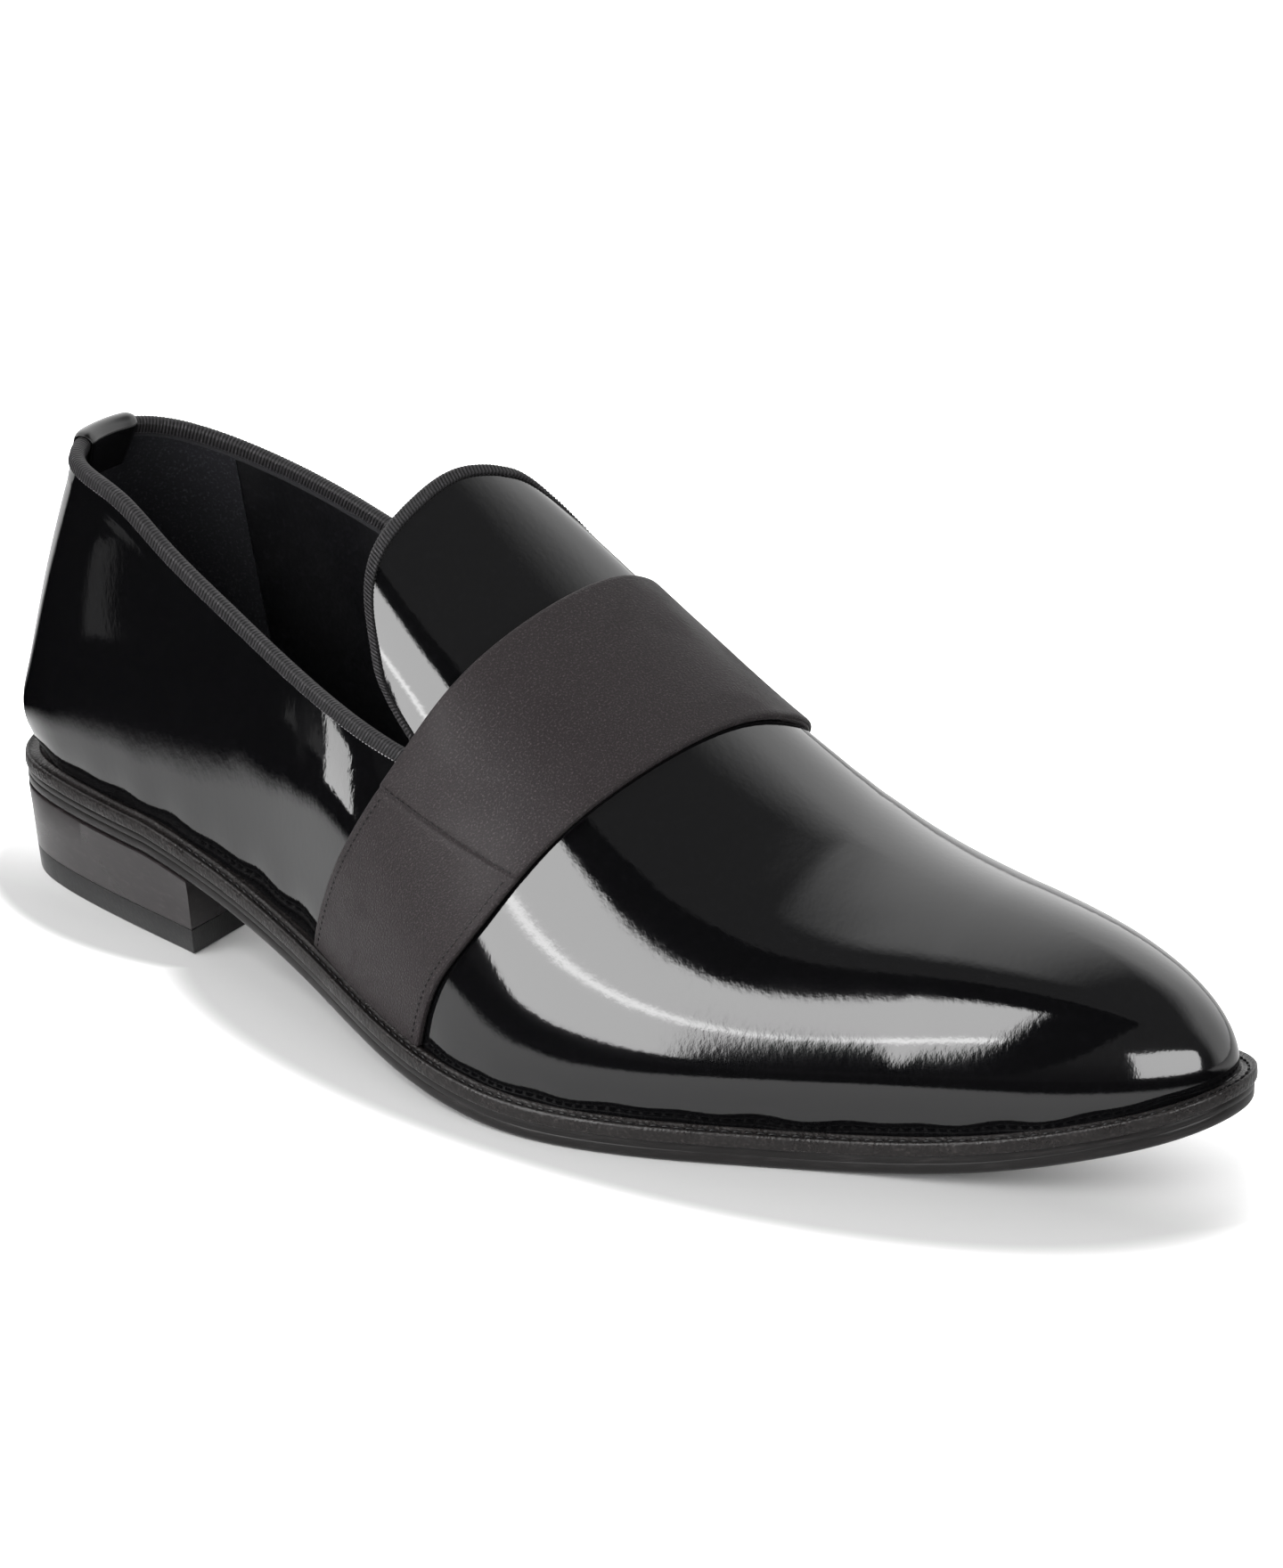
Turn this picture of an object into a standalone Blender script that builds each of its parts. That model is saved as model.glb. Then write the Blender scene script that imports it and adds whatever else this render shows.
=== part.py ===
"""Formal slip-on shoe, right foot, in patent leather with a ribbon band across the instep.

+X points to the toe, +Y to the inner (medial) side and +Z up. The origin is on the floor, in the middle of the
shoe's box. Lengths are in millimetres, and the meshes are made in metres.

The upper is one surface. Its sections run across the shoe from the outer feather edge, over the ridge, to the inner
feather edge. They wrap round the heel and close at the tip of the toe. Everything on the upper is cut or offset from
that same surface.
"""

import math
from typing import NamedTuple

import bmesh
import bpy
import numpy as np

MM = 0.001

# Driving dimensions.
LENGTH = 305.0
BALL_WIDTH = 104.0
HEEL_WIDTH = 62.0
TOE_SWING = 1.5
HEEL_SWING = 1.5
RIM = 3.6
CLEARANCE = 0.3

HEEL_HEIGHT = 20.4
HEEL_LENGTH = 66.0
HEEL_TAPER = 2.0
TOP_LIFT = 6.0
SEAT_PITCH = 1.2
TOE_SPRING = 15.5
OUTSOLE = 4.2
WELT = 3.0
WELT_STEP = 0.5
WELT_UNDER = 2.6
WELT_BEVEL = 0.8
WELT_LIP = 0.4
EDGE_ROUND = 1.2
LIFT_BEVEL = 0.5

WALL = 1.5
INSTEP_RISE = 82.0
COLLAR_HEIGHT = 101.5
NOTCH_HEIGHT = 66.5
NOTCH_STATION = 141.0
INNER_NOTCH_STATION = 148.0
TONGUE_STATION = 113.6
HEEL_LEAN = 24.0
HEEL_CUP = 8.2

INSOLE = 4.6
INSOLE_BEVEL = 0.8
BINDING_WIDTH = 2.1
BINDING = 0.6
BINDING_CROWN = 0.2
BINDING_GAP = 0.5
BAND = 1.6
BAND_LIFT = 0.5
TAB = 0.8
TAB_WIDTH = 19.0
TAB_POINT = 7.0
TAB_DROP = 27.0
TAB_FOLD = 9.0
TAB_ROUND = 2.5
TAB_CROWN = 0.25
TAB_RISE_START = 2.4
TAB_RISE_END = 0.6

# Share of the collar's height over which the heel's cup swells out, and share of the length over which it leans.
CUP_HEIGHT = 0.07
LEAN_REACH = 0.45

# Makes the widest place of a section's swell as wide as its bulge.
BULGE_GAIN = 27 / 4

# Where the tread is flat and where the arch starts, as shares of the length.
ARCH_START = 0.17
TREAD_START = 0.60
TREAD_END = 0.74
ARCH_SLOPE = -0.73

# Steps of the meshes.
SOLE_STEPS = 44
QUARTER_ROWS = 20
QUARTER_COLUMNS = 11
EDGE_CROWDING = 0.4
TONGUE_COLUMNS = 20
VAMP_ROWS = 20
BAND_COLUMNS = 4
BAND_STEPS = 40
TAB_COLUMNS = 8
ROW_GAP = 0.01
COLUMN_GAP = 0.005
POLE_GAP = 0.01

# Edges that turn by more than these angles stay sharp.
SHARP = 40.0
SHARP_HEEL = 30.0
SHARP_UPPER = 50.0


class Breadth(NamedTuple):
    """Half breadths of the sole at one station, as shares of the heel's or the ball's width."""

    station: float
    outer: float
    inner: float
    width: float


SOLE_BREADTHS = (
    Breadth(0.020, 0.232, 0.262, HEEL_WIDTH),
    Breadth(0.070, 0.365, 0.400, HEEL_WIDTH),
    Breadth(0.160, 0.482, 0.490, HEEL_WIDTH),
    Breadth(0.260, 0.356, 0.272, BALL_WIDTH),
    Breadth(0.360, 0.455, 0.262, BALL_WIDTH),
    Breadth(0.460, 0.575, 0.302, BALL_WIDTH),
    Breadth(0.560, 0.625, 0.375, BALL_WIDTH),
    Breadth(0.660, 0.560, 0.440, BALL_WIDTH),
    Breadth(0.760, 0.428, 0.430, BALL_WIDTH),
    Breadth(0.860, 0.318, 0.345, BALL_WIDTH),
    Breadth(0.930, 0.224, 0.245, BALL_WIDTH),
    Breadth(0.975, 0.140, 0.155, BALL_WIDTH),
)


class Section(NamedTuple):
    """One section of the upper. Rise is a share of the instep rise, and the rest are shares of the ball's width."""

    station: float
    rise: float
    crest: float
    outer_fullness: float
    inner_fullness: float
    bulge: float


SECTIONS = (
    Section(0.040, 1.46, 0.015, 3.3, 3.3, 0.030),
    Section(0.115, 1.44, 0.015, 3.2, 3.2, 0.020),
    Section(0.210, 1.38, 0.020, 3.0, 3.1, 0.005),
    Section(0.310, 1.25, 0.045, 2.8, 3.1, 0.000),
    Section(0.410, 1.115, 0.085, 2.6, 3.2, 0.000),
    Section(0.510, 0.94, 0.075, 2.15, 3.0, 0.005),
    Section(0.610, 0.72, 0.055, 2.0, 2.6, 0.020),
    Section(0.705, 0.550, 0.035, 2.0, 2.3, 0.025),
    Section(0.795, 0.478, 0.020, 2.1, 2.2, 0.020),
    Section(0.880, 0.395, 0.015, 2.2, 2.2, 0.012),
    Section(0.945, 0.265, 0.012, 2.2, 2.2, 0.006),
)


class Level(NamedTuple):
    """One level of a section: how far along the half girth it lies, and its share of the section's height."""

    girth: float
    height: float


LEVELS = (
    Level(0.00, 0.00),
    Level(0.04, 0.05),
    Level(0.12, 0.15),
    Level(0.29, 0.36),
    Level(0.53, 0.65),
    Level(0.76, 0.88),
    Level(1.00, 1.00),
)
RIDGE = 1.0
INNER_FEATHER = 2.0


def spline_weights(knots, places, order=0):
    """A natural cubic spline's weights, or its slope's: a row for each place, a column for each knot."""
    knots, places = np.asarray(knots, float), np.asarray(places, float)
    count, steps = len(knots), np.diff(knots)
    bends, jumps = np.eye(count), np.zeros((count, count))
    for i in range(1, count - 1):
        bends[i, i - 1 : i + 2] = steps[i - 1], 2 * (steps[i - 1] + steps[i]), steps[i]
        jumps[i, i - 1 : i + 2] = 6 / steps[i - 1], -6 / steps[i - 1] - 6 / steps[i], 6 / steps[i]
    second = np.linalg.solve(bends, jumps)
    span = np.clip(np.searchsorted(knots, places, side="right") - 1, 0, count - 2)
    step = steps[span][:, None]
    ahead = (places[:, None] - knots[span][:, None]) / step
    left, unit = 1 - ahead, np.eye(count)
    if order:
        chord = (unit[span + 1] - unit[span]) / step
        return chord + step / 6 * ((3 * ahead**2 - 1) * second[span + 1] - (3 * left**2 - 1) * second[span])
    curve = (left**3 - left) * second[span] + (ahead**3 - ahead) * second[span + 1]
    return left * unit[span] + ahead * unit[span + 1] + curve * step**2 / 6


def station_angle(share):
    """Angle along the sole's half outline, 0 at the back of the heel and pi at the tip of the toe."""
    return math.acos(1 - 2 * share)


def outline(angle, inset=0.0):
    """Points of the sole's outline, moved inwards by the inset. Angles past pi are on the inner side."""
    half = [station_angle(row.station) for row in SOLE_BREADTHS]
    knots = [0.0, *half, math.pi, *(2 * math.pi - a for a in reversed(half))]
    side = [HEEL_SWING, *(-row.outer * row.width for row in SOLE_BREADTHS), TOE_SWING]
    side += [row.inner * row.width for row in reversed(SOLE_BREADTHS)]
    count = len(knots)
    wrapped = np.concatenate([np.array(knots) + turn * 2 * math.pi for turn in (-1, 0, 1)])
    angle = np.mod(np.atleast_1d(np.asarray(angle, float)), 2 * math.pi)
    values = np.tile(side, 3)
    y = spline_weights(wrapped[count // 2 :], angle) @ values[count // 2 :]
    slope = spline_weights(wrapped[count // 2 :], angle, 1) @ values[count // 2 :]
    x = LENGTH * (1 - np.cos(angle)) / 2
    along = np.stack([LENGTH * np.sin(angle) / 2, slope], axis=1)
    along /= np.linalg.norm(along, axis=1, keepdims=True)
    return np.stack([x - inset * along[:, 1], y + inset * along[:, 0]], axis=1)


def sole_bottom(x):
    """Height of the outsole's underside: pitched seat, arch, flat tread and toe spring."""
    x = np.asarray(x, float)
    seat_end, tread_start, tread_end = ARCH_START * LENGTH, TREAD_START * LENGTH, TREAD_END * LENGTH
    seat_drop = SEAT_PITCH * seat_end / HEEL_LENGTH
    seat = HEEL_HEIGHT + seat_drop / 2 - seat_drop * np.minimum(x / seat_end, 1)
    u = np.clip((x - seat_end) / (tread_start - seat_end), 0, 1)
    arch = (1 - u) ** 2 * (1 + (2 + ARCH_SLOPE) * u)
    spring = np.maximum((x - tread_end) / (LENGTH - tread_end), 0)
    return seat * arch + TOE_SPRING * spring**2


def welt_top(x):
    """Height of the welt's top, where the upper stands."""
    return sole_bottom(x) + OUTSOLE + CLEARANCE + WELT


def feather_height(x):
    """Height of the upper's lower edge."""
    return welt_top(x) + CLEARANCE


def heel_shift(x, z):
    """How far the back of the heel leans forward at a height: in at the collar, out at the cup."""
    v = (z - feather_height(0.0)) / (COLLAR_HEIGHT - feather_height(0.0))
    lean = HEEL_LEAN * v - HEEL_CUP * (1 - np.exp(-v / CUP_HEIGHT))
    return lean * np.maximum(1 - x / (LEAN_REACH * LENGTH), 0) ** 2


def section_points(section):
    """The section's points from the outer feather edge over the ridge to the inner feather edge."""
    angle = station_angle(section.station)
    outer, inner = outline([angle, 2 * math.pi - angle], RIM)
    height = np.array([level.height for level in LEVELS])
    crest = section.crest * BALL_WIDTH
    swell = section.bulge * BALL_WIDTH * BULGE_GAIN * height * (1 - height) ** 2
    sides = []
    for feather, fullness, sign in ((outer, section.outer_fullness, -1), (inner, section.inner_fullness, 1)):
        base = feather_height(feather[0])
        ridge = feather_height(section.station * LENGTH) + section.rise * INSTEP_RISE
        breadth = (1 - height**fullness) ** (1 / fullness)
        middle = (outer[0] + inner[0]) / 2
        z = base + (ridge - base) * height
        x = middle + (feather[0] - middle) * breadth
        y = crest + (feather[1] - crest) * breadth + sign * swell
        sides.append(np.stack([x + heel_shift(x, z), y, z], axis=1))
    return np.concatenate([sides[0], sides[1][-2::-1]])


def heel_line(first):
    """The back seam's points, at the mean heights of the first section's two sides."""
    back, _ = outline([0.0, math.pi], RIM)
    z = (first[:, 2] + first[::-1, 2]) / 2
    return np.stack([back[0] + heel_shift(back[0], z), np.full(len(z), back[1]), z], axis=1)


def upper_net():
    """Knots and points that the upper's surface runs through, with rows past both ends that keep it smooth there."""
    rows = [section_points(section) for section in SECTIONS]
    angles = [station_angle(section.station) for section in SECTIONS]
    _, tip = outline([0.0, math.pi], RIM)
    pole = np.tile([tip[0], tip[1], feather_height(tip[0])], (len(rows[0]), 1))
    behind = [row[::-1] for row in rows[2::-1]]
    ahead = []
    for row in rows[:-4:-1]:
        ahead.append(np.stack([row[:, 0], 2 * pole[:, 1] - row[:, 1], 2 * pole[:, 2] - row[:, 2]], axis=1))
    net = np.array([*behind, heel_line(rows[0]), *rows, pole, *ahead])
    knots = [-a for a in angles[2::-1]] + [0.0, *angles, math.pi] + [2 * math.pi - a for a in angles[:-4:-1]]
    half = [level.girth for level in LEVELS]
    return knots, half + [2 - girth for girth in half[-2::-1]], net


ANGLE_KNOTS, GIRTH_KNOTS, NET = upper_net()


def surface(angle, girth):
    """Points and outward normals of the upper at pairs of an angle and a girth from 0 to 2."""
    angle, girth = np.broadcast_arrays(np.asarray(angle, float), np.asarray(girth, float))
    shape = angle.shape
    angle, girth = angle.ravel(), girth.ravel()
    along, across = spline_weights(ANGLE_KNOTS, angle), spline_weights(GIRTH_KNOTS, girth)
    safe = np.minimum(angle, math.pi - POLE_GAP)
    near = spline_weights(ANGLE_KNOTS, safe)
    forward = np.einsum("ki,kj,ijc->kc", spline_weights(ANGLE_KNOTS, safe, 1), across, NET)
    round_ = np.einsum("ki,kj,ijc->kc", near, spline_weights(GIRTH_KNOTS, girth, 1), NET)
    normal = np.cross(forward, round_)
    normal /= np.linalg.norm(normal, axis=1, keepdims=True)
    normal[angle >= math.pi - 1e-9] = (1.0, 0.0, 0.0)
    point = np.einsum("ki,kj,ijc->kc", along, across, NET)
    return point.reshape(*shape, 3), normal.reshape(*shape, 3)


def stretch(angle, girth):
    """Millimetres of surface for each unit of angle and of girth."""
    along, across = spline_weights(ANGLE_KNOTS, angle), spline_weights(GIRTH_KNOTS, girth)
    forward = np.einsum("ki,kj,ijc->kc", spline_weights(ANGLE_KNOTS, angle, 1), across, NET)
    round_ = np.einsum("ki,kj,ijc->kc", along, spline_weights(GIRTH_KNOTS, girth, 1), NET)
    return np.linalg.norm(forward, axis=1), np.linalg.norm(round_, axis=1)


class Topline(NamedTuple):
    """Height of the collar's edge on both sides, as shares of the fall from the heel to the outer notch."""

    run: float
    outer: float
    inner: float


TOPLINE = (
    Topline(0.00, 1.000, 1.000),
    Topline(0.10, 0.957, 0.879),
    Topline(0.20, 0.880, 0.782),
    Topline(0.30, 0.710, 0.702),
    Topline(0.45, 0.480, 0.580),
    Topline(0.60, 0.286, 0.440),
    Topline(0.80, 0.117, 0.330),
    Topline(1.00, 0.000, 0.290),
)


def notch_station(inner):
    """Station of the notch on the outer or the inner side."""
    return INNER_NOTCH_STATION if inner else NOTCH_STATION


def topline_height(x, inner):
    """Height of the collar's edge seen from the side: from the back of the heel down to the notch."""
    x = np.asarray(x, float)
    back = RIM + HEEL_LEAN - HEEL_CUP
    run = np.clip((x.ravel() - back) / (notch_station(inner) - back), 0, 1)
    shares = [row.inner if inner else row.outer for row in TOPLINE]
    fall = spline_weights([row.run for row in TOPLINE], run) @ shares
    return NOTCH_HEIGHT + (COLLAR_HEIGHT - NOTCH_HEIGHT) * fall.reshape(x.shape)


def halve(low, high, too_far):
    """Bisection for a whole array: the places between low and high where too_far turns true."""
    low, high = np.array(low, float), np.array(high, float)
    for _ in range(40):
        middle = (low + high) / 2
        beyond = too_far(middle)
        high = np.where(beyond, middle, high)
        low = np.where(beyond, low, middle)
    return (low + high) / 2


def topline_girth(angle, inner):
    """Girth of the collar's edge at each angle, on the outer or the inner side."""
    angle = np.asarray(angle, float)

    def above(way):
        point, _ = surface(angle, INNER_FEATHER - way if inner else way)
        return point[..., 2] > topline_height(point[..., 0], inner)

    way = halve(np.full(angle.shape, 0.05), np.full(angle.shape, 0.97), above)
    return INNER_FEATHER - way if inner else way


def angle_at_station(station, girth):
    """Angle at which the surface reaches a station at each girth."""
    station, girth = np.broadcast_arrays(np.asarray(station, float), np.asarray(girth, float))

    def past(angle):
        return surface(angle, girth)[0][..., 0] > station

    return halve(np.full(girth.shape, 0.2), np.full(girth.shape, math.pi), past)


def find_notch(inner):
    """Angle and girth of the notch where the collar's edge meets the tongue's."""
    angle = np.array([station_angle(notch_station(inner) / LENGTH)])
    for _ in range(12):
        girth = topline_girth(angle, inner)
        angle = angle_at_station(notch_station(inner), girth)
    return float(angle[0]), float(girth[0])


NOTCH_ANGLE, OUTER_NOTCH = find_notch(inner=False)
INNER_NOTCH_ANGLE, INNER_NOTCH = find_notch(inner=True)


class TongueEdge(NamedTuple):
    """The tongue's edge: its way from the outer notch at 0 over the ridge at 1 to the inner notch at 2, and how far
    forward it lies there, from the tongue's back at 0 to the outer notch's station at 1."""

    way: float
    reach: float


TONGUE_EDGE = (
    TongueEdge(0.00, 1.00),
    TongueEdge(0.05, 0.72),
    TongueEdge(0.10, 0.47),
    TongueEdge(0.18, 0.31),
    TongueEdge(0.34, 0.10),
    TongueEdge(0.50, 0.00),
    TongueEdge(0.70, 0.01),
    TongueEdge(0.90, 0.085),
    TongueEdge(1.00, 0.18),
    TongueEdge(1.25, 0.34),
    TongueEdge(1.40, 0.55),
    TongueEdge(1.60, 0.88),
    TongueEdge(1.80, 1.09),
)


def tongue_station(way):
    """Station of the tongue's edge on its way from the outer notch to the inner notch."""
    depth = NOTCH_STATION - TONGUE_STATION
    ways = [*(row.way for row in TONGUE_EDGE), 2.0]
    reaches = [*(row.reach for row in TONGUE_EDGE), (INNER_NOTCH_STATION - TONGUE_STATION) / depth]
    reach = spline_weights(ways, np.ravel(way)) @ reaches
    return TONGUE_STATION + depth * reach.reshape(np.shape(way))


def edge_angle(girth):
    """Angle of the front of the opening: the notch on the quarters, the tongue's edge between them."""
    girth = np.asarray(girth, float)
    outer = np.clip((girth - OUTER_NOTCH) / (RIDGE - OUTER_NOTCH), 0, 1)
    inner = np.clip((girth - RIDGE) / (INNER_NOTCH - RIDGE), 0, 1)
    found = angle_at_station(tongue_station(outer + inner), np.clip(girth, OUTER_NOTCH, INNER_NOTCH))
    found = np.where(girth <= OUTER_NOTCH, NOTCH_ANGLE, found)
    return np.where(girth >= INNER_NOTCH, INNER_NOTCH_ANGLE, found)


class BandRow(NamedTuple):
    """One girth of the instep band, and the stations of its back and front edges as shares of the length."""

    girth: float
    back: float
    front: float


BAND_ROWS = (
    BandRow(0.00, 0.357, 0.482),
    BandRow(0.15, 0.378, 0.497),
    BandRow(0.30, 0.405, 0.522),
    BandRow(0.50, 0.439, 0.549),
    BandRow(0.75, 0.466, 0.578),
    BandRow(1.00, 0.488, 0.602),
    BandRow(1.15, 0.494, 0.609),
    BandRow(1.30, 0.479, 0.602),
    BandRow(1.50, 0.447, 0.577),
    BandRow(1.75, 0.405, 0.535),
    BandRow(2.00, 0.367, 0.492),
)


def band_angle(girth, front):
    """Angle of the band's front or back edge at each girth."""
    shares = [row.front if front else row.back for row in BAND_ROWS]
    girth = np.asarray(girth, float)
    station = LENGTH * (spline_weights([row.girth for row in BAND_ROWS], girth.ravel()) @ shares)
    return angle_at_station(station.reshape(girth.shape), girth)


def room_to_band(angle, girth):
    """Millimetres of surface between a place on the upper and the band's back edge ahead of it."""
    return (band_angle(girth, front=False) - angle) * stretch(angle, girth)[0]


class Skin:
    """Patches of quads on one surface, welded where their points meet, then given a wall."""

    def __init__(self):
        self.points, self.normals, self.feather, self.index, self.quads = [], [], [], {}, []

    def place(self, point, normal, on_feather):
        key = tuple(np.round(point, 4))
        if key not in self.index:
            self.index[key] = len(self.points)
            self.points.append(point)
            self.normals.append(normal)
            self.feather.append(on_feather)
        return self.index[key]

    def patch(self, angle, girth):
        """Adds the quads of a grid whose rows run forward and whose columns run from outer to inner side."""
        point, normal = surface(angle, girth)
        rows, columns = point.shape[:2]
        low = (girth <= 0.0) | (girth >= INNER_FEATHER)
        spot = [[self.place(point[i, j], normal[i, j], low[i, j]) for j in range(columns)] for i in range(rows)]
        for i in range(rows - 1):
            for j in range(columns - 1):
                ring = [spot[i][j], spot[i + 1][j], spot[i + 1][j + 1], spot[i][j + 1]]
                self.quads.append(list(dict.fromkeys(ring)))

    def solid(self, outer_lift, inner_lift):
        """Closed points and faces between two offsets of the skin. The feather edges follow the welt's top."""
        points, normals = np.array(self.points), np.array(self.normals)
        edges = {}
        for quad in self.quads:
            for a, b in zip(quad, quad[1:] + quad[:1]):
                edges[(a, b)] = edges.get((a, b), 0) + 1
        rim = [(a, b) for (a, b) in edges if (b, a) not in edges]
        count = len(points)
        outer, inner = points + outer_lift * normals, points + inner_lift * normals
        faces = [tuple(q) for q in self.quads]
        faces += [tuple(v + count for v in reversed(q)) for q in self.quads]
        faces += [(b, a, a + count, b + count) for a, b in rim]
        for side in (outer, inner):
            side[self.feather, 2] = feather_height(side[self.feather, 0])
        return np.concatenate([outer, inner]), faces


def new_piece(name, points, faces, material, sharp=SHARP):
    """A mesh object in metres, with its faces out."""
    mesh = bpy.data.meshes.new(name)
    mesh.from_pydata([tuple(p) for p in np.asarray(points) * MM], [], [tuple(int(v) for v in f) for f in faces])
    shape = bmesh.new()
    shape.from_mesh(mesh)
    bmesh.ops.recalc_face_normals(shape, faces=shape.faces)
    if shape.calc_volume(signed=True) < 0:
        bmesh.ops.reverse_faces(shape, faces=shape.faces)
    bmesh.ops.triangulate(shape, faces=shape.faces)
    shape.to_mesh(mesh)
    shape.free()
    mesh.shade_smooth()
    mesh.set_sharp_from_angle(angle=math.radians(sharp))
    mesh.materials.append(material)
    piece = bpy.data.objects.new(name, mesh)
    bpy.context.scene.collection.objects.link(piece)
    return piece


def new_material(name, colour, roughness, coat=0.0):
    material = bpy.data.materials.new(name)
    material.use_nodes = True
    shader = material.node_tree.nodes["Principled BSDF"]
    shader.inputs["Base Color"].default_value = (*colour, 1.0)
    shader.inputs["Roughness"].default_value = roughness
    shader.inputs["Coat Weight"].default_value = coat
    return material


def loop_faces(rings):
    """Quads between closed rings of the same count, each ring a list of vertex numbers."""
    faces = []
    for low, high in zip(rings, rings[1:]):
        count = len(low)
        for i in range(count):
            faces.append((low[i], low[(i + 1) % count], high[(i + 1) % count], high[i]))
    return faces


def slab_angles():
    """Angles once round the sole, the outer side and then the inner side at the same stations."""
    half = np.linspace(0, math.pi, SOLE_STEPS + 1)
    return np.concatenate([half, 2 * math.pi - half[-2:0:-1]])


def sole_rings(profile):
    """Points round the sole, and the vertex numbers of each ring, from pairs of an inset and a height function."""
    angles = slab_angles()
    points, rings = [], []
    for inset, height in profile:
        ring = outline(angles, inset)
        rings.append(list(range(len(points), len(points) + len(ring))))
        points += [(x, y, float(height(x))) for x, y in ring]
    return np.array(points), rings


def slab(profile):
    """A closed body from rings, bottom first, with caps of strips from side to side."""
    points, rings = sole_rings(profile)
    return points, loop_faces(rings) + cap(rings[0]) + cap(rings[-1])


def cap(ring):
    """Strips between the two halves of a ring that starts at the heel and turns at the toe."""
    count = len(ring)
    half = count // 2
    faces = [(ring[0], ring[1], ring[-1]), (ring[half], ring[half - 1], ring[half + 1])]
    for i in range(1, half - 1):
        faces.append((ring[i], ring[i + 1], ring[count - i - 1], ring[count - i]))
    return faces


def raised(height, rise):
    """A height function that stands a rise above another."""
    return lambda x: height(x) + rise


def level(z):
    """A height function of a flat level."""
    return lambda x: 0 * x + z


class RoundStep(NamedTuple):
    """One ring of the outsole's rounded lower edge, as shares of the edge's rounding."""

    inset: float
    rise: float


ROUND_STEPS = (RoundStep(1.5, 0.0), RoundStep(0.4, 0.4), RoundStep(0.0, 1.4))


def make_outsole(material):
    """The sole slab, set back a step from the welt."""
    profile = []
    for step in ROUND_STEPS:
        profile.append((WELT_STEP + step.inset * EDGE_ROUND, raised(sole_bottom, step.rise * EDGE_ROUND)))
    profile.append((WELT_STEP, raised(sole_bottom, OUTSOLE)))
    return new_piece("outsole", *slab(profile), material)


def make_welt(material):
    """A ring with a bevelled outer edge. Its inner edge stays under the upper's wall."""
    low, under = raised(sole_bottom, OUTSOLE + CLEARANCE), RIM + WELT_UNDER
    profile = (
        (under, low),
        (WELT_LIP, low),
        (0.0, raised(low, WELT_LIP)),
        (0.0, raised(welt_top, -WELT_BEVEL)),
        (WELT_BEVEL, welt_top),
        (under, welt_top),
    )
    points, rings = sole_rings(profile)
    return new_piece("welt", points, loop_faces([*rings, rings[0]]), material)


def heel_ring(inset, breast):
    """The sole's outline behind the breast, closed across it."""
    reach = angle_of_breast(inset, breast)
    sweep = np.linspace(-reach, reach, SOLE_STEPS // 2 + 1)
    return outline(sweep, inset)


def angle_of_breast(inset, breast):
    """Angle at which the inset outline reaches the breast."""
    low, high = 0.2, math.pi / 2
    for _ in range(40):
        middle = (low + high) / 2
        low, high = (low, middle) if outline([middle], inset)[0, 0] > breast else (middle, high)
    return (low + high) / 2


def heel_body(levels):
    """A closed body from levels of (inset, breast, height function), bottom first."""
    points, rings = [], []
    for inset, breast, height in levels:
        ring = heel_ring(inset, breast)
        rings.append(list(range(len(points), len(points) + len(ring))))
        points += [(x, y, float(height(x))) for x, y in ring]
    faces = loop_faces(rings)
    for ring in (rings[0], rings[-1]):
        faces += [tuple(ring[k] for k in corner) for corner in heel_cap(len(ring))]
    return np.array(points), faces


def heel_cap(count):
    half = count // 2
    faces = [(half, half - 1, half + 1)]
    faces += [(half - i, half - i - 1, half + i + 1, half + i) for i in range(1, half)]
    return faces


def taper_at(z):
    """Inset of the heel's side at a height, from the seat down to the floor."""
    return WELT_STEP + HEEL_TAPER * (1 - z / HEEL_HEIGHT)


def make_heel(block_material, lift_material):
    """The top lift on the floor and the block between it and the seat."""
    lift = (
        (taper_at(0) + LIFT_BEVEL, HEEL_LENGTH - LIFT_BEVEL, level(0.0)),
        (taper_at(0), HEEL_LENGTH, level(LIFT_BEVEL)),
        (taper_at(TOP_LIFT), HEEL_LENGTH, level(TOP_LIFT)),
    )
    base = TOP_LIFT + CLEARANCE
    block = (
        (taper_at(base), HEEL_LENGTH, level(base)),
        (taper_at(HEEL_HEIGHT), HEEL_LENGTH, raised(sole_bottom, -CLEARANCE)),
    )
    return [
        new_piece("heel_top_lift", *heel_body(lift), lift_material, SHARP_HEEL),
        new_piece("heel_block", *heel_body(block), block_material, SHARP_HEEL),
    ]


def make_insole(material):
    """A slab inside the welt's ring and the upper, lying on the outsole."""
    inset = RIM + WELT_UNDER + CLEARANCE
    low = raised(sole_bottom, OUTSOLE + CLEARANCE)
    profile = (
        (inset, low),
        (inset, raised(low, INSOLE - INSOLE_BEVEL)),
        (inset + INSOLE_BEVEL, raised(low, INSOLE)),
    )
    return new_piece("insole", *slab(profile), material)


def crowded(steps):
    """Shares from 0 to 1 that lie closer together at both ends."""
    even = np.linspace(0, 1, steps + 1)
    return even - EDGE_CROWDING * np.sin(2 * math.pi * even) / (2 * math.pi)


def quarter_angles(notch_angle):
    return notch_angle * crowded(QUARTER_ROWS)


def tongue_girths():
    """Girths of the tongue's columns, closest together near the notches."""
    sweep = (1 - np.cos(np.linspace(0, math.pi, TONGUE_COLUMNS + 1))) / 2
    return OUTER_NOTCH + (INNER_NOTCH - OUTER_NOTCH) * sweep


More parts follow.
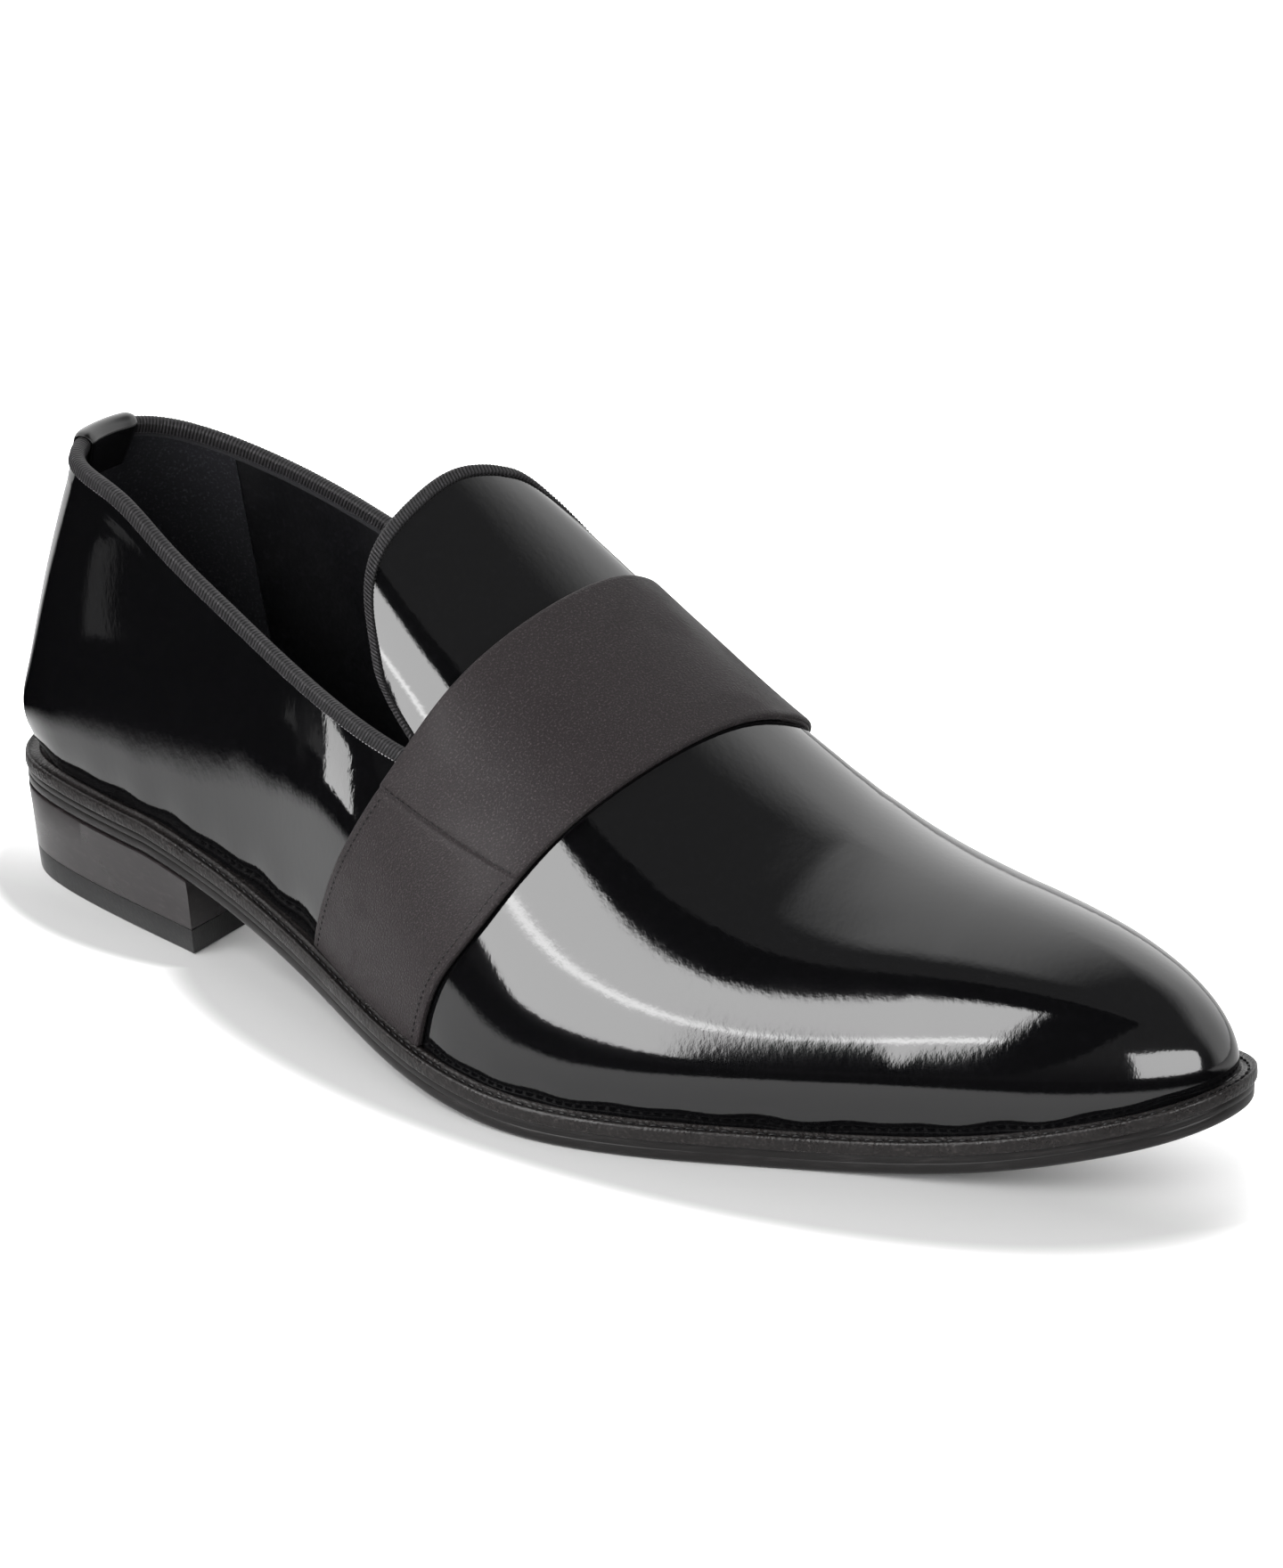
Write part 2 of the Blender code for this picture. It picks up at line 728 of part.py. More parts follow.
def make_upper(material):
    """Both quarters, the vamp and the tongue as one wall, open at the collar and underneath."""
    skin = Skin()
    share = crowded(QUARTER_COLUMNS)
    for inner, notch_angle, feather in ((False, NOTCH_ANGLE, 0.0), (True, INNER_NOTCH_ANGLE, INNER_FEATHER)):
        angle = quarter_angles(notch_angle)
        top = topline_girth(angle, inner)
        girth = feather + (top - feather)[:, None] * share[None, :]
        girth = girth[:, ::-1] if inner else girth
        skin.patch(np.repeat(angle[:, None], girth.shape[1], 1), girth)
    outer = OUTER_NOTCH * share
    inner = INNER_FEATHER + (INNER_NOTCH - INNER_FEATHER) * share[::-1]
    girth = np.concatenate([outer, tongue_girths()[1:-1], inner])
    start = edge_angle(girth)
    ahead = np.linspace(0, 1, VAMP_ROWS + 1)[:, None]
    angle = start[None, :] + (math.pi - start[None, :]) * ahead
    skin.patch(angle, np.repeat(girth[None, :], len(ahead), 0))
    return new_piece("upper", *skin.solid(0.0, -WALL), material, SHARP_UPPER)


class FoldPoint(NamedTuple):
    """A rounded corner of the ribbon's fold, in shares of the ribbon's thickness out and up."""

    out: float
    up: float


SHOULDER = FoldPoint(0.55, 0.75)


def fold_section(edge, edge_normal, deep, deep_normal):
    """Eleven points round a ribbon that is folded over the upper's edge, for each place along it."""
    up = edge - deep
    up /= np.linalg.norm(up, axis=-1, keepdims=True)
    near, far = CLEARANCE, CLEARANCE + BINDING
    out, rise = CLEARANCE + SHOULDER.out * BINDING, CLEARANCE + SHOULDER.up * BINDING
    return np.stack(
        [
            deep + far * deep_normal,
            edge + far * edge_normal,
            edge + out * edge_normal + rise * up,
            edge - 0.5 * WALL * edge_normal + (far + BINDING_CROWN) * up,
            edge - (WALL + out) * edge_normal + rise * up,
            edge - (WALL + far) * edge_normal,
            deep - (WALL + far) * deep_normal,
            deep - (WALL + near) * deep_normal,
            edge - (WALL + near) * edge_normal + near * up,
            edge + near * edge_normal + near * up,
            deep + near * deep_normal,
        ],
        axis=1,
    )


def tube(sections):
    """A closed body from sections along a run, with flat ends."""
    count, size = sections.shape[:2]
    rings = [list(range(i * size, (i + 1) * size)) for i in range(count)]
    faces = loop_faces(rings)
    half = size // 2
    for ring in (rings[0], rings[-1]):
        faces += [(ring[i], ring[i + 1], ring[size - 2 - i], ring[size - 1 - i]) for i in range(half - 1)]
        if size % 2:
            faces.append((ring[half - 1], ring[half], ring[half + 1]))
    return sections.reshape(-1, 3), faces


def collar_line(angle, inner, depth):
    """Girth of the line that runs at a depth below the collar's edge."""
    girth = topline_girth(angle, inner)
    step = depth / stretch(angle, girth)[1]
    return girth + (step if inner else -step)


def collar_end(inner, notch_angle, depth):
    """Angle at which a line of the collar comes up to the band."""

    def at_band(angle):
        return room_to_band(angle, collar_line(angle, inner, depth)) < BINDING_GAP

    return halve([0.5 * notch_angle], [notch_angle], at_band)[0]


def make_collar_binding(material):
    """The ribbon over the collar's edge, from notch to notch round the heel."""
    sides = []
    for inner, notch_angle in ((True, INNER_NOTCH_ANGLE), (False, NOTCH_ANGLE)):
        ends = [collar_end(inner, notch_angle, depth) for depth in (0.0, BINDING_WIDTH)]
        rows = quarter_angles(notch_angle)
        top, low = (np.append(rows[rows < min(ends) - ROW_GAP], end) for end in ends)
        edge = surface(top, collar_line(top, inner, 0.0))
        deep = surface(low, collar_line(low, inner, BINDING_WIDTH))
        sections = fold_section(*edge, *deep)
        sides.append(sections[:0:-1] if inner else sections)
    return new_piece("collar_binding", *tube(np.concatenate(sides)), material)


def tongue_line(girth, depth):
    """Angle of the line that runs at a depth in front of the tongue's edge."""
    angle = edge_angle(girth)
    return angle + depth / stretch(angle, girth)[0]


def tongue_ends(depth):
    """Girths at which a line of the tongue comes up to the band, on the outer and the inner side."""

    def clear(girth):
        return room_to_band(tongue_line(girth, depth), girth) > BINDING_GAP

    return halve([OUTER_NOTCH, INNER_NOTCH], [RIDGE, RIDGE], clear)


def make_tongue_binding(material):
    """The ribbon over the tongue's edge, down to the band on both sides."""
    ends = [tongue_ends(depth) for depth in (0.0, BINDING_WIDTH)]
    first, last = max(end[0] for end in ends), min(end[1] for end in ends)
    columns = tongue_girths()
    shared = columns[(columns > first + COLUMN_GAP) & (columns < last - COLUMN_GAP)]
    top, low = (np.concatenate([end[:1], shared, end[1:]]) for end in ends)
    edge = surface(tongue_line(top, 0.0), top)
    deep = surface(tongue_line(low, BINDING_WIDTH), low)
    return new_piece("tongue_binding", *tube(fold_section(*edge, *deep)), material)


def make_band(material):
    """A flat ribbon standing a little proud, with rounded long edges."""
    start = BAND_LIFT / stretch(np.array([NOTCH_ANGLE]), np.array([0.0]))[1][0]
    girth = np.linspace(start, INNER_FEATHER - start, BAND_STEPS + 1)
    back, front = band_angle(girth, front=False), band_angle(girth, front=True)
    across = np.linspace(0, 1, BAND_COLUMNS + 1)
    angle = back[:, None] + (front - back)[:, None] * across[None, :]
    point, normal = surface(angle, np.repeat(girth[:, None], len(across), 1))
    lift = CLEARANCE + BAND * np.where((across == 0) | (across == 1), 0.55, 1.0)
    top = point + lift[None, :, None] * normal
    low = point + CLEARANCE * normal
    sections = np.concatenate([top, low[:, ::-1]], axis=1)
    return new_piece("instep_band", *tube(sections), material)


def tab_column(side):
    """Points and normals up one column of the tab, at a side from -1 to 1, from its point to the collar's edge."""
    over_binding = [BINDING_WIDTH + TAB_RISE_START, BINDING_WIDTH + TAB_RISE_END, 0.5 * BINDING_WIDTH, 0.0]
    drop = np.array([*(TAB_DROP * share for share in (1.0, 0.8, 0.6, 0.4)), *over_binding])
    half = (TAB_POINT + (TAB_WIDTH - TAB_POINT) * (1 - drop / TAB_DROP)) / 2
    around = stretch(np.array([0.001]), np.array([0.4]))[0][0]
    angle = abs(side) * half / around
    girth = topline_girth(angle, side > 0)
    drop[0] -= TAB_ROUND * abs(side) ** 3
    step = drop / stretch(angle, girth)[1]
    return surface(angle, girth + (step if side > 0 else -step))


def tab_section(side):
    """The tab's section at a side: up the seam, over the binding and down inside the collar."""
    path, facing = tab_column(side)
    over = 2 * CLEARANCE + BINDING
    lift = np.where(np.arange(len(path)) < 5, CLEARANCE, over)[:, None]
    top, face = path[-1], facing[-1]
    up, down = path[-1] - path[-2], path[-1] - path[4]
    up, down = up / np.linalg.norm(up), down / np.linalg.norm(down)
    back = WALL + over
    under = [
        *(path + lift * facing),
        top + 0.8 * over * face + 0.9 * over * up,
        top - 0.5 * WALL * face + (over + TAB_CROWN) * up,
        top - back * face + 0.6 * over * up,
        top - back * face - 0.2 * up,
        top - back * face - TAB_FOLD * down,
    ]
    outer = [
        *(path + (lift + TAB) * facing),
        top + (over + 0.6 * TAB) * face + (over + 0.7 * TAB) * up,
        top - 0.5 * WALL * face + (over + TAB_CROWN + TAB) * up,
        top - (back + 0.8 * TAB) * face + (0.6 * over + 0.8 * TAB) * up,
        top - (back + TAB) * face - 0.2 * up,
        top - (back + TAB) * face - TAB_FOLD * down,
    ]
    return np.array([*outer, *under[::-1]])


def make_heel_tab(material):
    """A tapering strip that stands over the back seam, rides over the binding and folds into the collar."""
    sections = [tab_section(side) for side in np.linspace(-1, 1, TAB_COLUMNS + 1)]
    return new_piece("heel_tab", *tube(np.array(sections)), material)


def clear_scene():
    for thing in list(bpy.data.objects):
        bpy.data.objects.remove(thing)


def main():
    clear_scene()
    patent = new_material("patent_leather", (0.006, 0.006, 0.007), 0.06, 1.0)
    edge = new_material("sole_edge", (0.012, 0.010, 0.009), 0.35)
    rubber = new_material("top_lift_rubber", (0.008, 0.008, 0.008), 0.5)
    ribbon = new_material("grosgrain", (0.030, 0.028, 0.030), 0.7)
    satin = new_material("satin", (0.022, 0.019, 0.018), 0.5)
    lining = new_material("lining", (0.012, 0.012, 0.015), 0.6)
    pieces = [
        make_outsole(edge),
        make_welt(edge),
        *make_heel(edge, rubber),
        make_upper(patent),
        make_insole(lining),
        make_collar_binding(ribbon),
        make_tongue_binding(ribbon),
        make_heel_tab(patent),
        make_band(satin),
    ]
    points = np.array([vertex.co.xy for piece in pieces for vertex in piece.data.vertices])
    centre = (points.min(axis=0) + points.max(axis=0)) / 2
    for piece in pieces:
        piece.location.xy = tuple(-centre)


main()
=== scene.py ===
"""Looks of a formal slip-on shoe for the right foot, in patent leather with a satin instep band.

+X points to the toe, +Y to the inner side and +Z up. Sizes are in millimetres in the sole's own frame, where
x runs from the back of the heel to the tip of the toe and z from the floor. The meshes are made in metres, in
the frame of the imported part, so each piece stands where its solid stands.
"""

import logging
import math
from dataclasses import dataclass
from enum import Enum
from typing import Callable, NamedTuple, Sequence

import bmesh
import bpy
import numpy as np
from mathutils import Matrix, Vector

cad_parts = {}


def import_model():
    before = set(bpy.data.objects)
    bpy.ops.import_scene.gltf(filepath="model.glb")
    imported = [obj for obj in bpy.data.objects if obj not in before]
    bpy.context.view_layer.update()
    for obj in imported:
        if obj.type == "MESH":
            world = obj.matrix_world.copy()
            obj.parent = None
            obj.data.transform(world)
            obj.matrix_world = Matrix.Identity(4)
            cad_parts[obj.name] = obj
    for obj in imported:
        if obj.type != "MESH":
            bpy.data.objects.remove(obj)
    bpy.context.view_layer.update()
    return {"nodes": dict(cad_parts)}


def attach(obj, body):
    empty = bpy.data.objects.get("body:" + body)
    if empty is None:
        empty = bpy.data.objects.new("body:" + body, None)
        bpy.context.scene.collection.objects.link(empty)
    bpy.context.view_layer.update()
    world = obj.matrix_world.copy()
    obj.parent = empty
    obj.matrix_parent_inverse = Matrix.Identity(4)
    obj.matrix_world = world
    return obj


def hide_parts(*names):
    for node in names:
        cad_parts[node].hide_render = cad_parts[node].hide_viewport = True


MM = 0.001
BOX_MIDDLE = np.array([152.267, -9.232, 0.0])
RIB_PITCH = 0.86
RANGE_INPUTS = ("Value", "From Min", "From Max", "To Min", "To Max")
LOG = logging.getLogger("slip_on_shoe")

Array = np.ndarray
Socket = bpy.types.NodeSocket
Heights = Callable[[Array], Array]
Colour = tuple[float, float, float]


class Spline:
    """A natural cubic spline, kept as weights on its knots."""

    def __init__(self, knots: Sequence[float]) -> None:
        """Solves the bends once.

        Args:
            knots: where the curve's values are given, in rising order.
        """
        self.knots = np.asarray(knots, float)
        count, steps = len(self.knots), np.diff(self.knots)
        bends, jumps = np.eye(count), np.zeros((count, count))
        for i in range(1, count - 1):
            bends[i, i - 1 : i + 2] = steps[i - 1], 2 * (steps[i - 1] + steps[i]), steps[i]
            jumps[i, i - 1 : i + 2] = 6 / steps[i - 1], -6 / steps[i - 1] - 6 / steps[i], 6 / steps[i]
        self.second = np.linalg.solve(bends, jumps)
        self.unit = np.eye(count)

    def weights(self, places: Array, slope: bool = False) -> Array:
        """Weights of the knots at some places.

        Args:
            places: where the curve is read.
            slope: true for the curve's slope, false for its value.

        Returns:
            A row for each place and a column for each knot.
        """
        places = np.asarray(places, float)
        span = np.clip(np.searchsorted(self.knots, places, side="right") - 1, 0, len(self.knots) - 2)
        step = np.diff(self.knots)[span][:, None]
        ahead = (places[:, None] - self.knots[span][:, None]) / step
        left = 1 - ahead
        low, high = self.second[span], self.second[span + 1]
        if slope:
            chord = (self.unit[span + 1] - self.unit[span]) / step
            return chord + step / 6 * ((3 * ahead**2 - 1) * high - (3 * left**2 - 1) * low)
        curve = (left**3 - left) * low + (ahead**3 - ahead) * high
        return left * self.unit[span] + ahead * self.unit[span + 1] + curve * step**2 / 6


def smooth_step(value: Array, low: float, high: float) -> Array:
    """Rises smoothly from 0 at low to 1 at high."""
    share = np.clip((np.asarray(value, float) - low) / (high - low), 0, 1)
    return share**2 * (3 - 2 * share)


def bell(distance: Array, width: float) -> Array:
    """A soft hump, 1 in its middle and about a third at one width."""
    return np.exp(-((np.asarray(distance, float) / width) ** 2))


def halve(low: Array, high: Array, too_far: Callable[[Array], Array]) -> Array:
    """Finds where a test turns true, for a whole array at once.

    Args:
        low: places where the test is false.
        high: places where the test is true.
        too_far: the test.

    Returns:
        The places between low and high where it turns.
    """
    low, high = np.array(low, float), np.array(high, float)
    for _ in range(36):
        middle = (low + high) / 2
        beyond = too_far(middle)
        high = np.where(beyond, middle, high)
        low = np.where(beyond, low, middle)
    return (low + high) / 2


def run_lengths(points: Array) -> Array:
    """Length run along a line of points, from 0 at the first."""
    return np.concatenate([[0.0], np.cumsum(np.linalg.norm(np.diff(points, axis=0), axis=1))])


class Breadth(NamedTuple):
    """Half breadths of the sole at one station, as shares of the heel's or the ball's width."""

    station: float
    outer: float
    inner: float
    width: float


class Section(NamedTuple):
    """One section of the upper: its rise is a share of the instep rise, the rest of the ball's width."""

    station: float
    rise: float
    crest: float
    outer_fullness: float
    inner_fullness: float
    bulge: float


class Level(NamedTuple):
    """One level of a section: how far along the half girth it lies, and its share of the section's height."""

    girth: float
    height: float


class Topline(NamedTuple):
    """Height of the collar's edge on both sides, as shares of the fall from the heel to the notch."""

    run: float
    outer: float
    inner: float


class TongueEdge(NamedTuple):
    """One place on the tongue's edge.

    Its way runs from the outer notch at 0 over the ridge at 1 to the inner notch at 2. Its reach is how far
    forward it lies, from the tongue's back at 0 to the outer notch's station at 1.
    """

    way: float
    reach: float


class BandRow(NamedTuple):
    """One girth of the instep band, and the stations of its back and front edges as shares of the length."""

    girth: float
    back: float
    front: float


BALL_WIDTH = 104.0
HEEL_WIDTH = 62.0

SOLE_BREADTHS = (
    Breadth(0.020, 0.232, 0.262, HEEL_WIDTH),
    Breadth(0.070, 0.365, 0.400, HEEL_WIDTH),
    Breadth(0.160, 0.482, 0.490, HEEL_WIDTH),
    Breadth(0.260, 0.356, 0.272, BALL_WIDTH),
    Breadth(0.360, 0.455, 0.262, BALL_WIDTH),
    Breadth(0.460, 0.575, 0.302, BALL_WIDTH),
    Breadth(0.560, 0.625, 0.375, BALL_WIDTH),
    Breadth(0.660, 0.560, 0.440, BALL_WIDTH),
    Breadth(0.760, 0.428, 0.430, BALL_WIDTH),
    Breadth(0.860, 0.318, 0.345, BALL_WIDTH),
    Breadth(0.930, 0.224, 0.245, BALL_WIDTH),
    Breadth(0.975, 0.140, 0.155, BALL_WIDTH),
)

SECTIONS = (
    Section(0.040, 1.46, 0.015, 3.3, 3.3, 0.030),
    Section(0.115, 1.44, 0.015, 3.2, 3.2, 0.020),
    Section(0.210, 1.38, 0.020, 3.0, 3.1, 0.005),
    Section(0.310, 1.25, 0.045, 2.8, 3.1, 0.000),
    Section(0.410, 1.115, 0.085, 2.6, 3.2, 0.000),
    Section(0.510, 0.94, 0.075, 2.15, 3.0, 0.005),
    Section(0.610, 0.72, 0.055, 2.0, 2.6, 0.020),
    Section(0.705, 0.550, 0.035, 2.0, 2.3, 0.025),
    Section(0.795, 0.478, 0.020, 2.1, 2.2, 0.020),
    Section(0.880, 0.395, 0.015, 2.2, 2.2, 0.012),
    Section(0.945, 0.265, 0.012, 2.2, 2.2, 0.006),
)

LEVELS = (
    Level(0.00, 0.00),
    Level(0.04, 0.05),
    Level(0.12, 0.15),
    Level(0.29, 0.36),
    Level(0.53, 0.65),
    Level(0.76, 0.88),
    Level(1.00, 1.00),
)
RIDGE = 1.0
INNER_FEATHER = 2.0

TOPLINE = (
    Topline(0.00, 1.000, 1.000),
    Topline(0.10, 0.957, 0.879),
    Topline(0.20, 0.880, 0.782),
    Topline(0.30, 0.710, 0.702),
    Topline(0.45, 0.480, 0.580),
    Topline(0.60, 0.286, 0.440),
    Topline(0.80, 0.117, 0.330),
    Topline(1.00, 0.000, 0.290),
)

TONGUE_EDGE = (
    TongueEdge(0.00, 1.00),
    TongueEdge(0.05, 0.72),
    TongueEdge(0.10, 0.47),
    TongueEdge(0.18, 0.31),
    TongueEdge(0.34, 0.10),
    TongueEdge(0.50, 0.00),
    TongueEdge(0.70, 0.01),
    TongueEdge(0.90, 0.085),
    TongueEdge(1.00, 0.18),
    TongueEdge(1.25, 0.34),
    TongueEdge(1.40, 0.55),
    TongueEdge(1.60, 0.88),
    TongueEdge(1.80, 1.09),
)

BAND_ROWS = (
    BandRow(0.00, 0.357, 0.482),
    BandRow(0.15, 0.378, 0.497),
    BandRow(0.30, 0.405, 0.522),
    BandRow(0.50, 0.439, 0.549),
    BandRow(0.75, 0.466, 0.578),
    BandRow(1.00, 0.488, 0.602),
    BandRow(1.15, 0.494, 0.609),
    BandRow(1.30, 0.479, 0.602),
    BandRow(1.50, 0.447, 0.577),
    BandRow(1.75, 0.405, 0.535),
    BandRow(2.00, 0.367, 0.492),
)


def raised(height: Heights, rise: float) -> Heights:
    """A height over the sole, raised by a number of millimetres."""
    return lambda x: height(x) + rise


def station_angle(share: float) -> float:
    """Angle along the sole's half outline, 0 at the back of the heel and pi at the tip of the toe."""
    return math.acos(1 - 2 * share)


@dataclass
class Sole:
    """Outline and heights of the sole that everything else stands on."""

    length: float = 305.0
    toe_swing: float = 1.5
    heel_swing: float = 1.5
    heel_height: float = 20.4
    heel_length: float = 66.0
    seat_pitch: float = 1.2
    toe_spring: float = 15.5
    thickness: float = 4.2
    gap: float = 0.3
    welt: float = 3.0
    rim: float = 3.6
    arch_start: float = 0.17
    tread_start: float = 0.60
    tread_end: float = 0.74
    arch_slope: float = -0.73

    def __post_init__(self) -> None:
        """Lays out the knots round the sole, and once more on each side so that the ends meet."""
        half = [station_angle(row.station) for row in SOLE_BREADTHS]
        knots = [0.0, *half, math.pi, *(2 * math.pi - a for a in reversed(half))]
        side = [self.heel_swing, *(-row.outer * row.width for row in SOLE_BREADTHS), self.toe_swing]
        side += [row.inner * row.width for row in reversed(SOLE_BREADTHS)]
        first = len(knots) // 2
        wrapped = np.concatenate([np.array(knots) + turn * 2 * math.pi for turn in (-1, 0, 1)])
        self.curve = Spline(wrapped[first:])
        self.side = np.tile(side, 3)[first:]

    def outline(self, angle: Array, inset: float | Array = 0.0) -> Array:
        """Points of the outline, moved inwards.

        Args:
            angle: angles, with the inner side past pi.
            inset: how far inwards, one number or one for each angle.

        Returns:
            The x and y of each point.
        """
        angle = np.mod(np.atleast_1d(np.asarray(angle, float)), 2 * math.pi)
        y = self.curve.weights(angle) @ self.side
        slope = self.curve.weights(angle, slope=True) @ self.side
        x = self.length * (1 - np.cos(angle)) / 2
        along = np.stack([self.length * np.sin(angle) / 2, slope], axis=1)
        along /= np.linalg.norm(along, axis=1, keepdims=True)
        return np.stack([x - inset * along[:, 1], y + inset * along[:, 0]], axis=1)

    def bottom(self, x: Array) -> Array:
        """Height of the outsole's underside: pitched seat, arch, flat tread and toe spring.

        Args:
            x: millimetres from the back of the heel.

        Returns:
            One height for each place.
        """
        x = np.asarray(x, float)
        seat_end, tread_start = self.arch_start * self.length, self.tread_start * self.length
        tread_end = self.tread_end * self.length
        seat_drop = self.seat_pitch * seat_end / self.heel_length
        seat = self.heel_height + seat_drop / 2 - seat_drop * np.minimum(x / seat_end, 1)
        u = np.clip((x - seat_end) / (tread_start - seat_end), 0, 1)
        arch = (1 - u) ** 2 * (1 + (2 + self.arch_slope) * u)
        spring = np.maximum((x - tread_end) / (self.length - tread_end), 0)
        return seat * arch + self.toe_spring * spring**2

    def welt_low(self, x: Array) -> Array:
        """Height of the welt's underside."""
        return self.bottom(x) + self.thickness + self.gap

    def welt_top(self, x: Array) -> Array:
        """Height of the welt's top."""
        return self.welt_low(x) + self.welt


@dataclass
class Last:
    """The upper's surface, as sections round the last, with the collar's and the tongue's edges on it."""

    sole: Sole
    wall: float = 1.5
    instep_rise: float = 82.0
    collar_height: float = 101.5
    notch_height: float = 66.5
    outer_notch_station: float = 141.0
    inner_notch_station: float = 148.0
    tongue_station: float = 113.6
    heel_lean: float = 24.0
    heel_cup: float = 8.2
    cup_height: float = 0.07
    lean_reach: float = 0.45
    bulge_gain: float = 6.75
    pole_margin: float = 0.01

    def __post_init__(self) -> None:
        """Builds the net of points that the surface runs through, and finds both notches."""
        rows = [self.section_points(section) for section in SECTIONS]
        angles = [station_angle(section.station) for section in SECTIONS]
        _, tip = self.sole.outline([0.0, math.pi], self.sole.rim)
        pole = np.tile([tip[0], tip[1], self.feather_height(tip[0])], (len(rows[0]), 1))
        behind = [row[::-1] for row in rows[2::-1]]
        ahead = [
            np.stack([row[:, 0], 2 * pole[:, 1] - row[:, 1], 2 * pole[:, 2] - row[:, 2]], 1)
            for row in rows[:-4:-1]
        ]
        self.net = np.array([*behind, self.heel_line(rows[0]), *rows, pole, *ahead])
        knots = [-a for a in angles[2::-1]] + [0.0, *angles, math.pi]
        knots += [2 * math.pi - a for a in angles[:-4:-1]]
        half = [level.girth for level in LEVELS]
        self.along = Spline(knots)
        self.across = Spline(half + [2 - girth for girth in half[-2::-1]])
        self.outer_notch_angle, self.outer_notch = self.find_notch(inner=False)
        self.inner_notch_angle, self.inner_notch = self.find_notch(inner=True)

    def feather_height(self, x: Array) -> Array:
        """Height of the upper's lower edge on the last."""
        return self.sole.welt_top(x) + self.sole.gap

    def heel_shift(self, x: Array, z: Array) -> Array:
        """How far the back of the heel leans forward at a height: in at the collar, out at the cup.

        Args:
            x: millimetres from the back of the heel.
            z: heights over the floor.

        Returns:
            Millimetres forward, one for each place.
        """
        base = self.feather_height(0.0)
        v = (z - base) / (self.collar_height - base)
        lean = self.heel_lean * v - self.heel_cup * (1 - np.exp(-v / self.cup_height))
        return lean * np.maximum(1 - x / (self.lean_reach * self.sole.length), 0) ** 2

    def section_points(self, section: Section) -> Array:
        """The section's points from the outer feather edge over the ridge to the inner feather edge.

        Args:
            section: the section.

        Returns:
            The points, one for each level on each side.
        """
        angle = station_angle(section.station)
        outer, inner = self.sole.outline([angle, 2 * math.pi - angle], self.sole.rim)
        height = np.array([level.height for level in LEVELS])
        crest = section.crest * BALL_WIDTH
        swell = section.bulge * BALL_WIDTH * self.bulge_gain * height * (1 - height) ** 2
        sides = []
        halves = ((outer, section.outer_fullness, -1), (inner, section.inner_fullness, 1))
        for feather, fullness, sign in halves:
            base = self.feather_height(feather[0])
            ridge = self.feather_height(section.station * self.sole.length) + section.rise * self.instep_rise
            breadth = (1 - height**fullness) ** (1 / fullness)
            middle = (outer[0] + inner[0]) / 2
            z = base + (ridge - base) * height
            x = middle + (feather[0] - middle) * breadth
            y = crest + (feather[1] - crest) * breadth + sign * swell
            sides.append(np.stack([x + self.heel_shift(x, z), y, z], axis=1))
        return np.concatenate([sides[0], sides[1][-2::-1]])

    def heel_line(self, first: Array) -> Array:
        """The back seam's points, at the mean heights of the first section's two sides.

        Args:
            first: the points of the first section.

        Returns:
            The points from side to side over the heel.
        """
        back, _ = self.sole.outline([0.0, math.pi], self.sole.rim)
        z = (first[:, 2] + first[::-1, 2]) / 2
        return np.stack([back[0] + self.heel_shift(back[0], z), np.full(len(z), back[1]), z], axis=1)

    def on_net(self, along: Array, across: Array) -> Array:
        """The net's points, or their slopes, by weights along and across it."""
        return np.einsum("ki,kj,ijc->kc", along, across, self.net, optimize=True)

    def surface(self, angle: Array, girth: Array) -> tuple[Array, Array]:
        """Points and outward normals of the upper.

        Args:
            angle: angles from 0 at the heel to pi at the toe.
            girth: ways across, from 0 at the outer feather edge over 1 at the ridge to 2.

        Returns:
            The points and the normals, both with the shape of the two grids.
        """
        angle, girth = np.broadcast_arrays(np.asarray(angle, float), np.asarray(girth, float))
        shape = angle.shape
        angle, girth = angle.ravel(), girth.ravel()
        safe = np.minimum(angle, math.pi - self.pole_margin)
        across = self.across.weights(girth)
        across_slope = self.across.weights(girth, slope=True)
        point = self.on_net(self.along.weights(angle), across)
        forward = self.on_net(self.along.weights(safe, slope=True), across)
        round_ = self.on_net(self.along.weights(safe), across_slope)
        normal = np.cross(forward, round_)
        normal /= np.linalg.norm(normal, axis=1, keepdims=True)
        normal[angle >= math.pi - 1e-9] = (1.0, 0.0, 0.0)
        return point.reshape(*shape, 3), normal.reshape(*shape, 3)

    def stretch(self, angle: Array, girth: Array) -> tuple[Array, Array]:
        """Millimetres of surface for each unit of angle and of girth.

        Args:
            angle: angles along the last.
            girth: girths of the last.

        Returns:
            The two stretches at each place.
        """
        along, across = self.along.weights(angle), self.across.weights(girth)
        forward = self.on_net(self.along.weights(angle, slope=True), across)
        round_ = self.on_net(along, self.across.weights(girth, slope=True))
        return np.linalg.norm(forward, axis=1), np.linalg.norm(round_, axis=1)

    def notch_station(self, inner: bool) -> float:
        """Station of the notch on the outer or the inner side."""
        return self.inner_notch_station if inner else self.outer_notch_station

    def topline_height(self, x: Array, inner: bool) -> Array:
        """Height of the collar's edge seen from the side, on the outer or the inner side.

        Args:
            x: millimetres from the back of the heel.
            inner: whether it is the inner side.

        Returns:
            One height for each place.
        """
        x = np.asarray(x, float)
        back = self.sole.rim + self.heel_lean - self.heel_cup
        run = np.clip((x.ravel() - back) / (self.notch_station(inner) - back), 0, 1)
        shares = [row.inner if inner else row.outer for row in TOPLINE]
        fall = Spline([row.run for row in TOPLINE]).weights(run) @ shares
        return self.notch_height + (self.collar_height - self.notch_height) * fall.reshape(x.shape)

    def topline_girth(self, angle: Array, inner: bool) -> Array:
        """Girth of the collar's edge at each angle, on the outer or the inner side.

        Args:
            angle: angles along the last.
            inner: whether it is the inner side.

        Returns:
            One girth for each angle.
        """
        angle = np.asarray(angle, float)

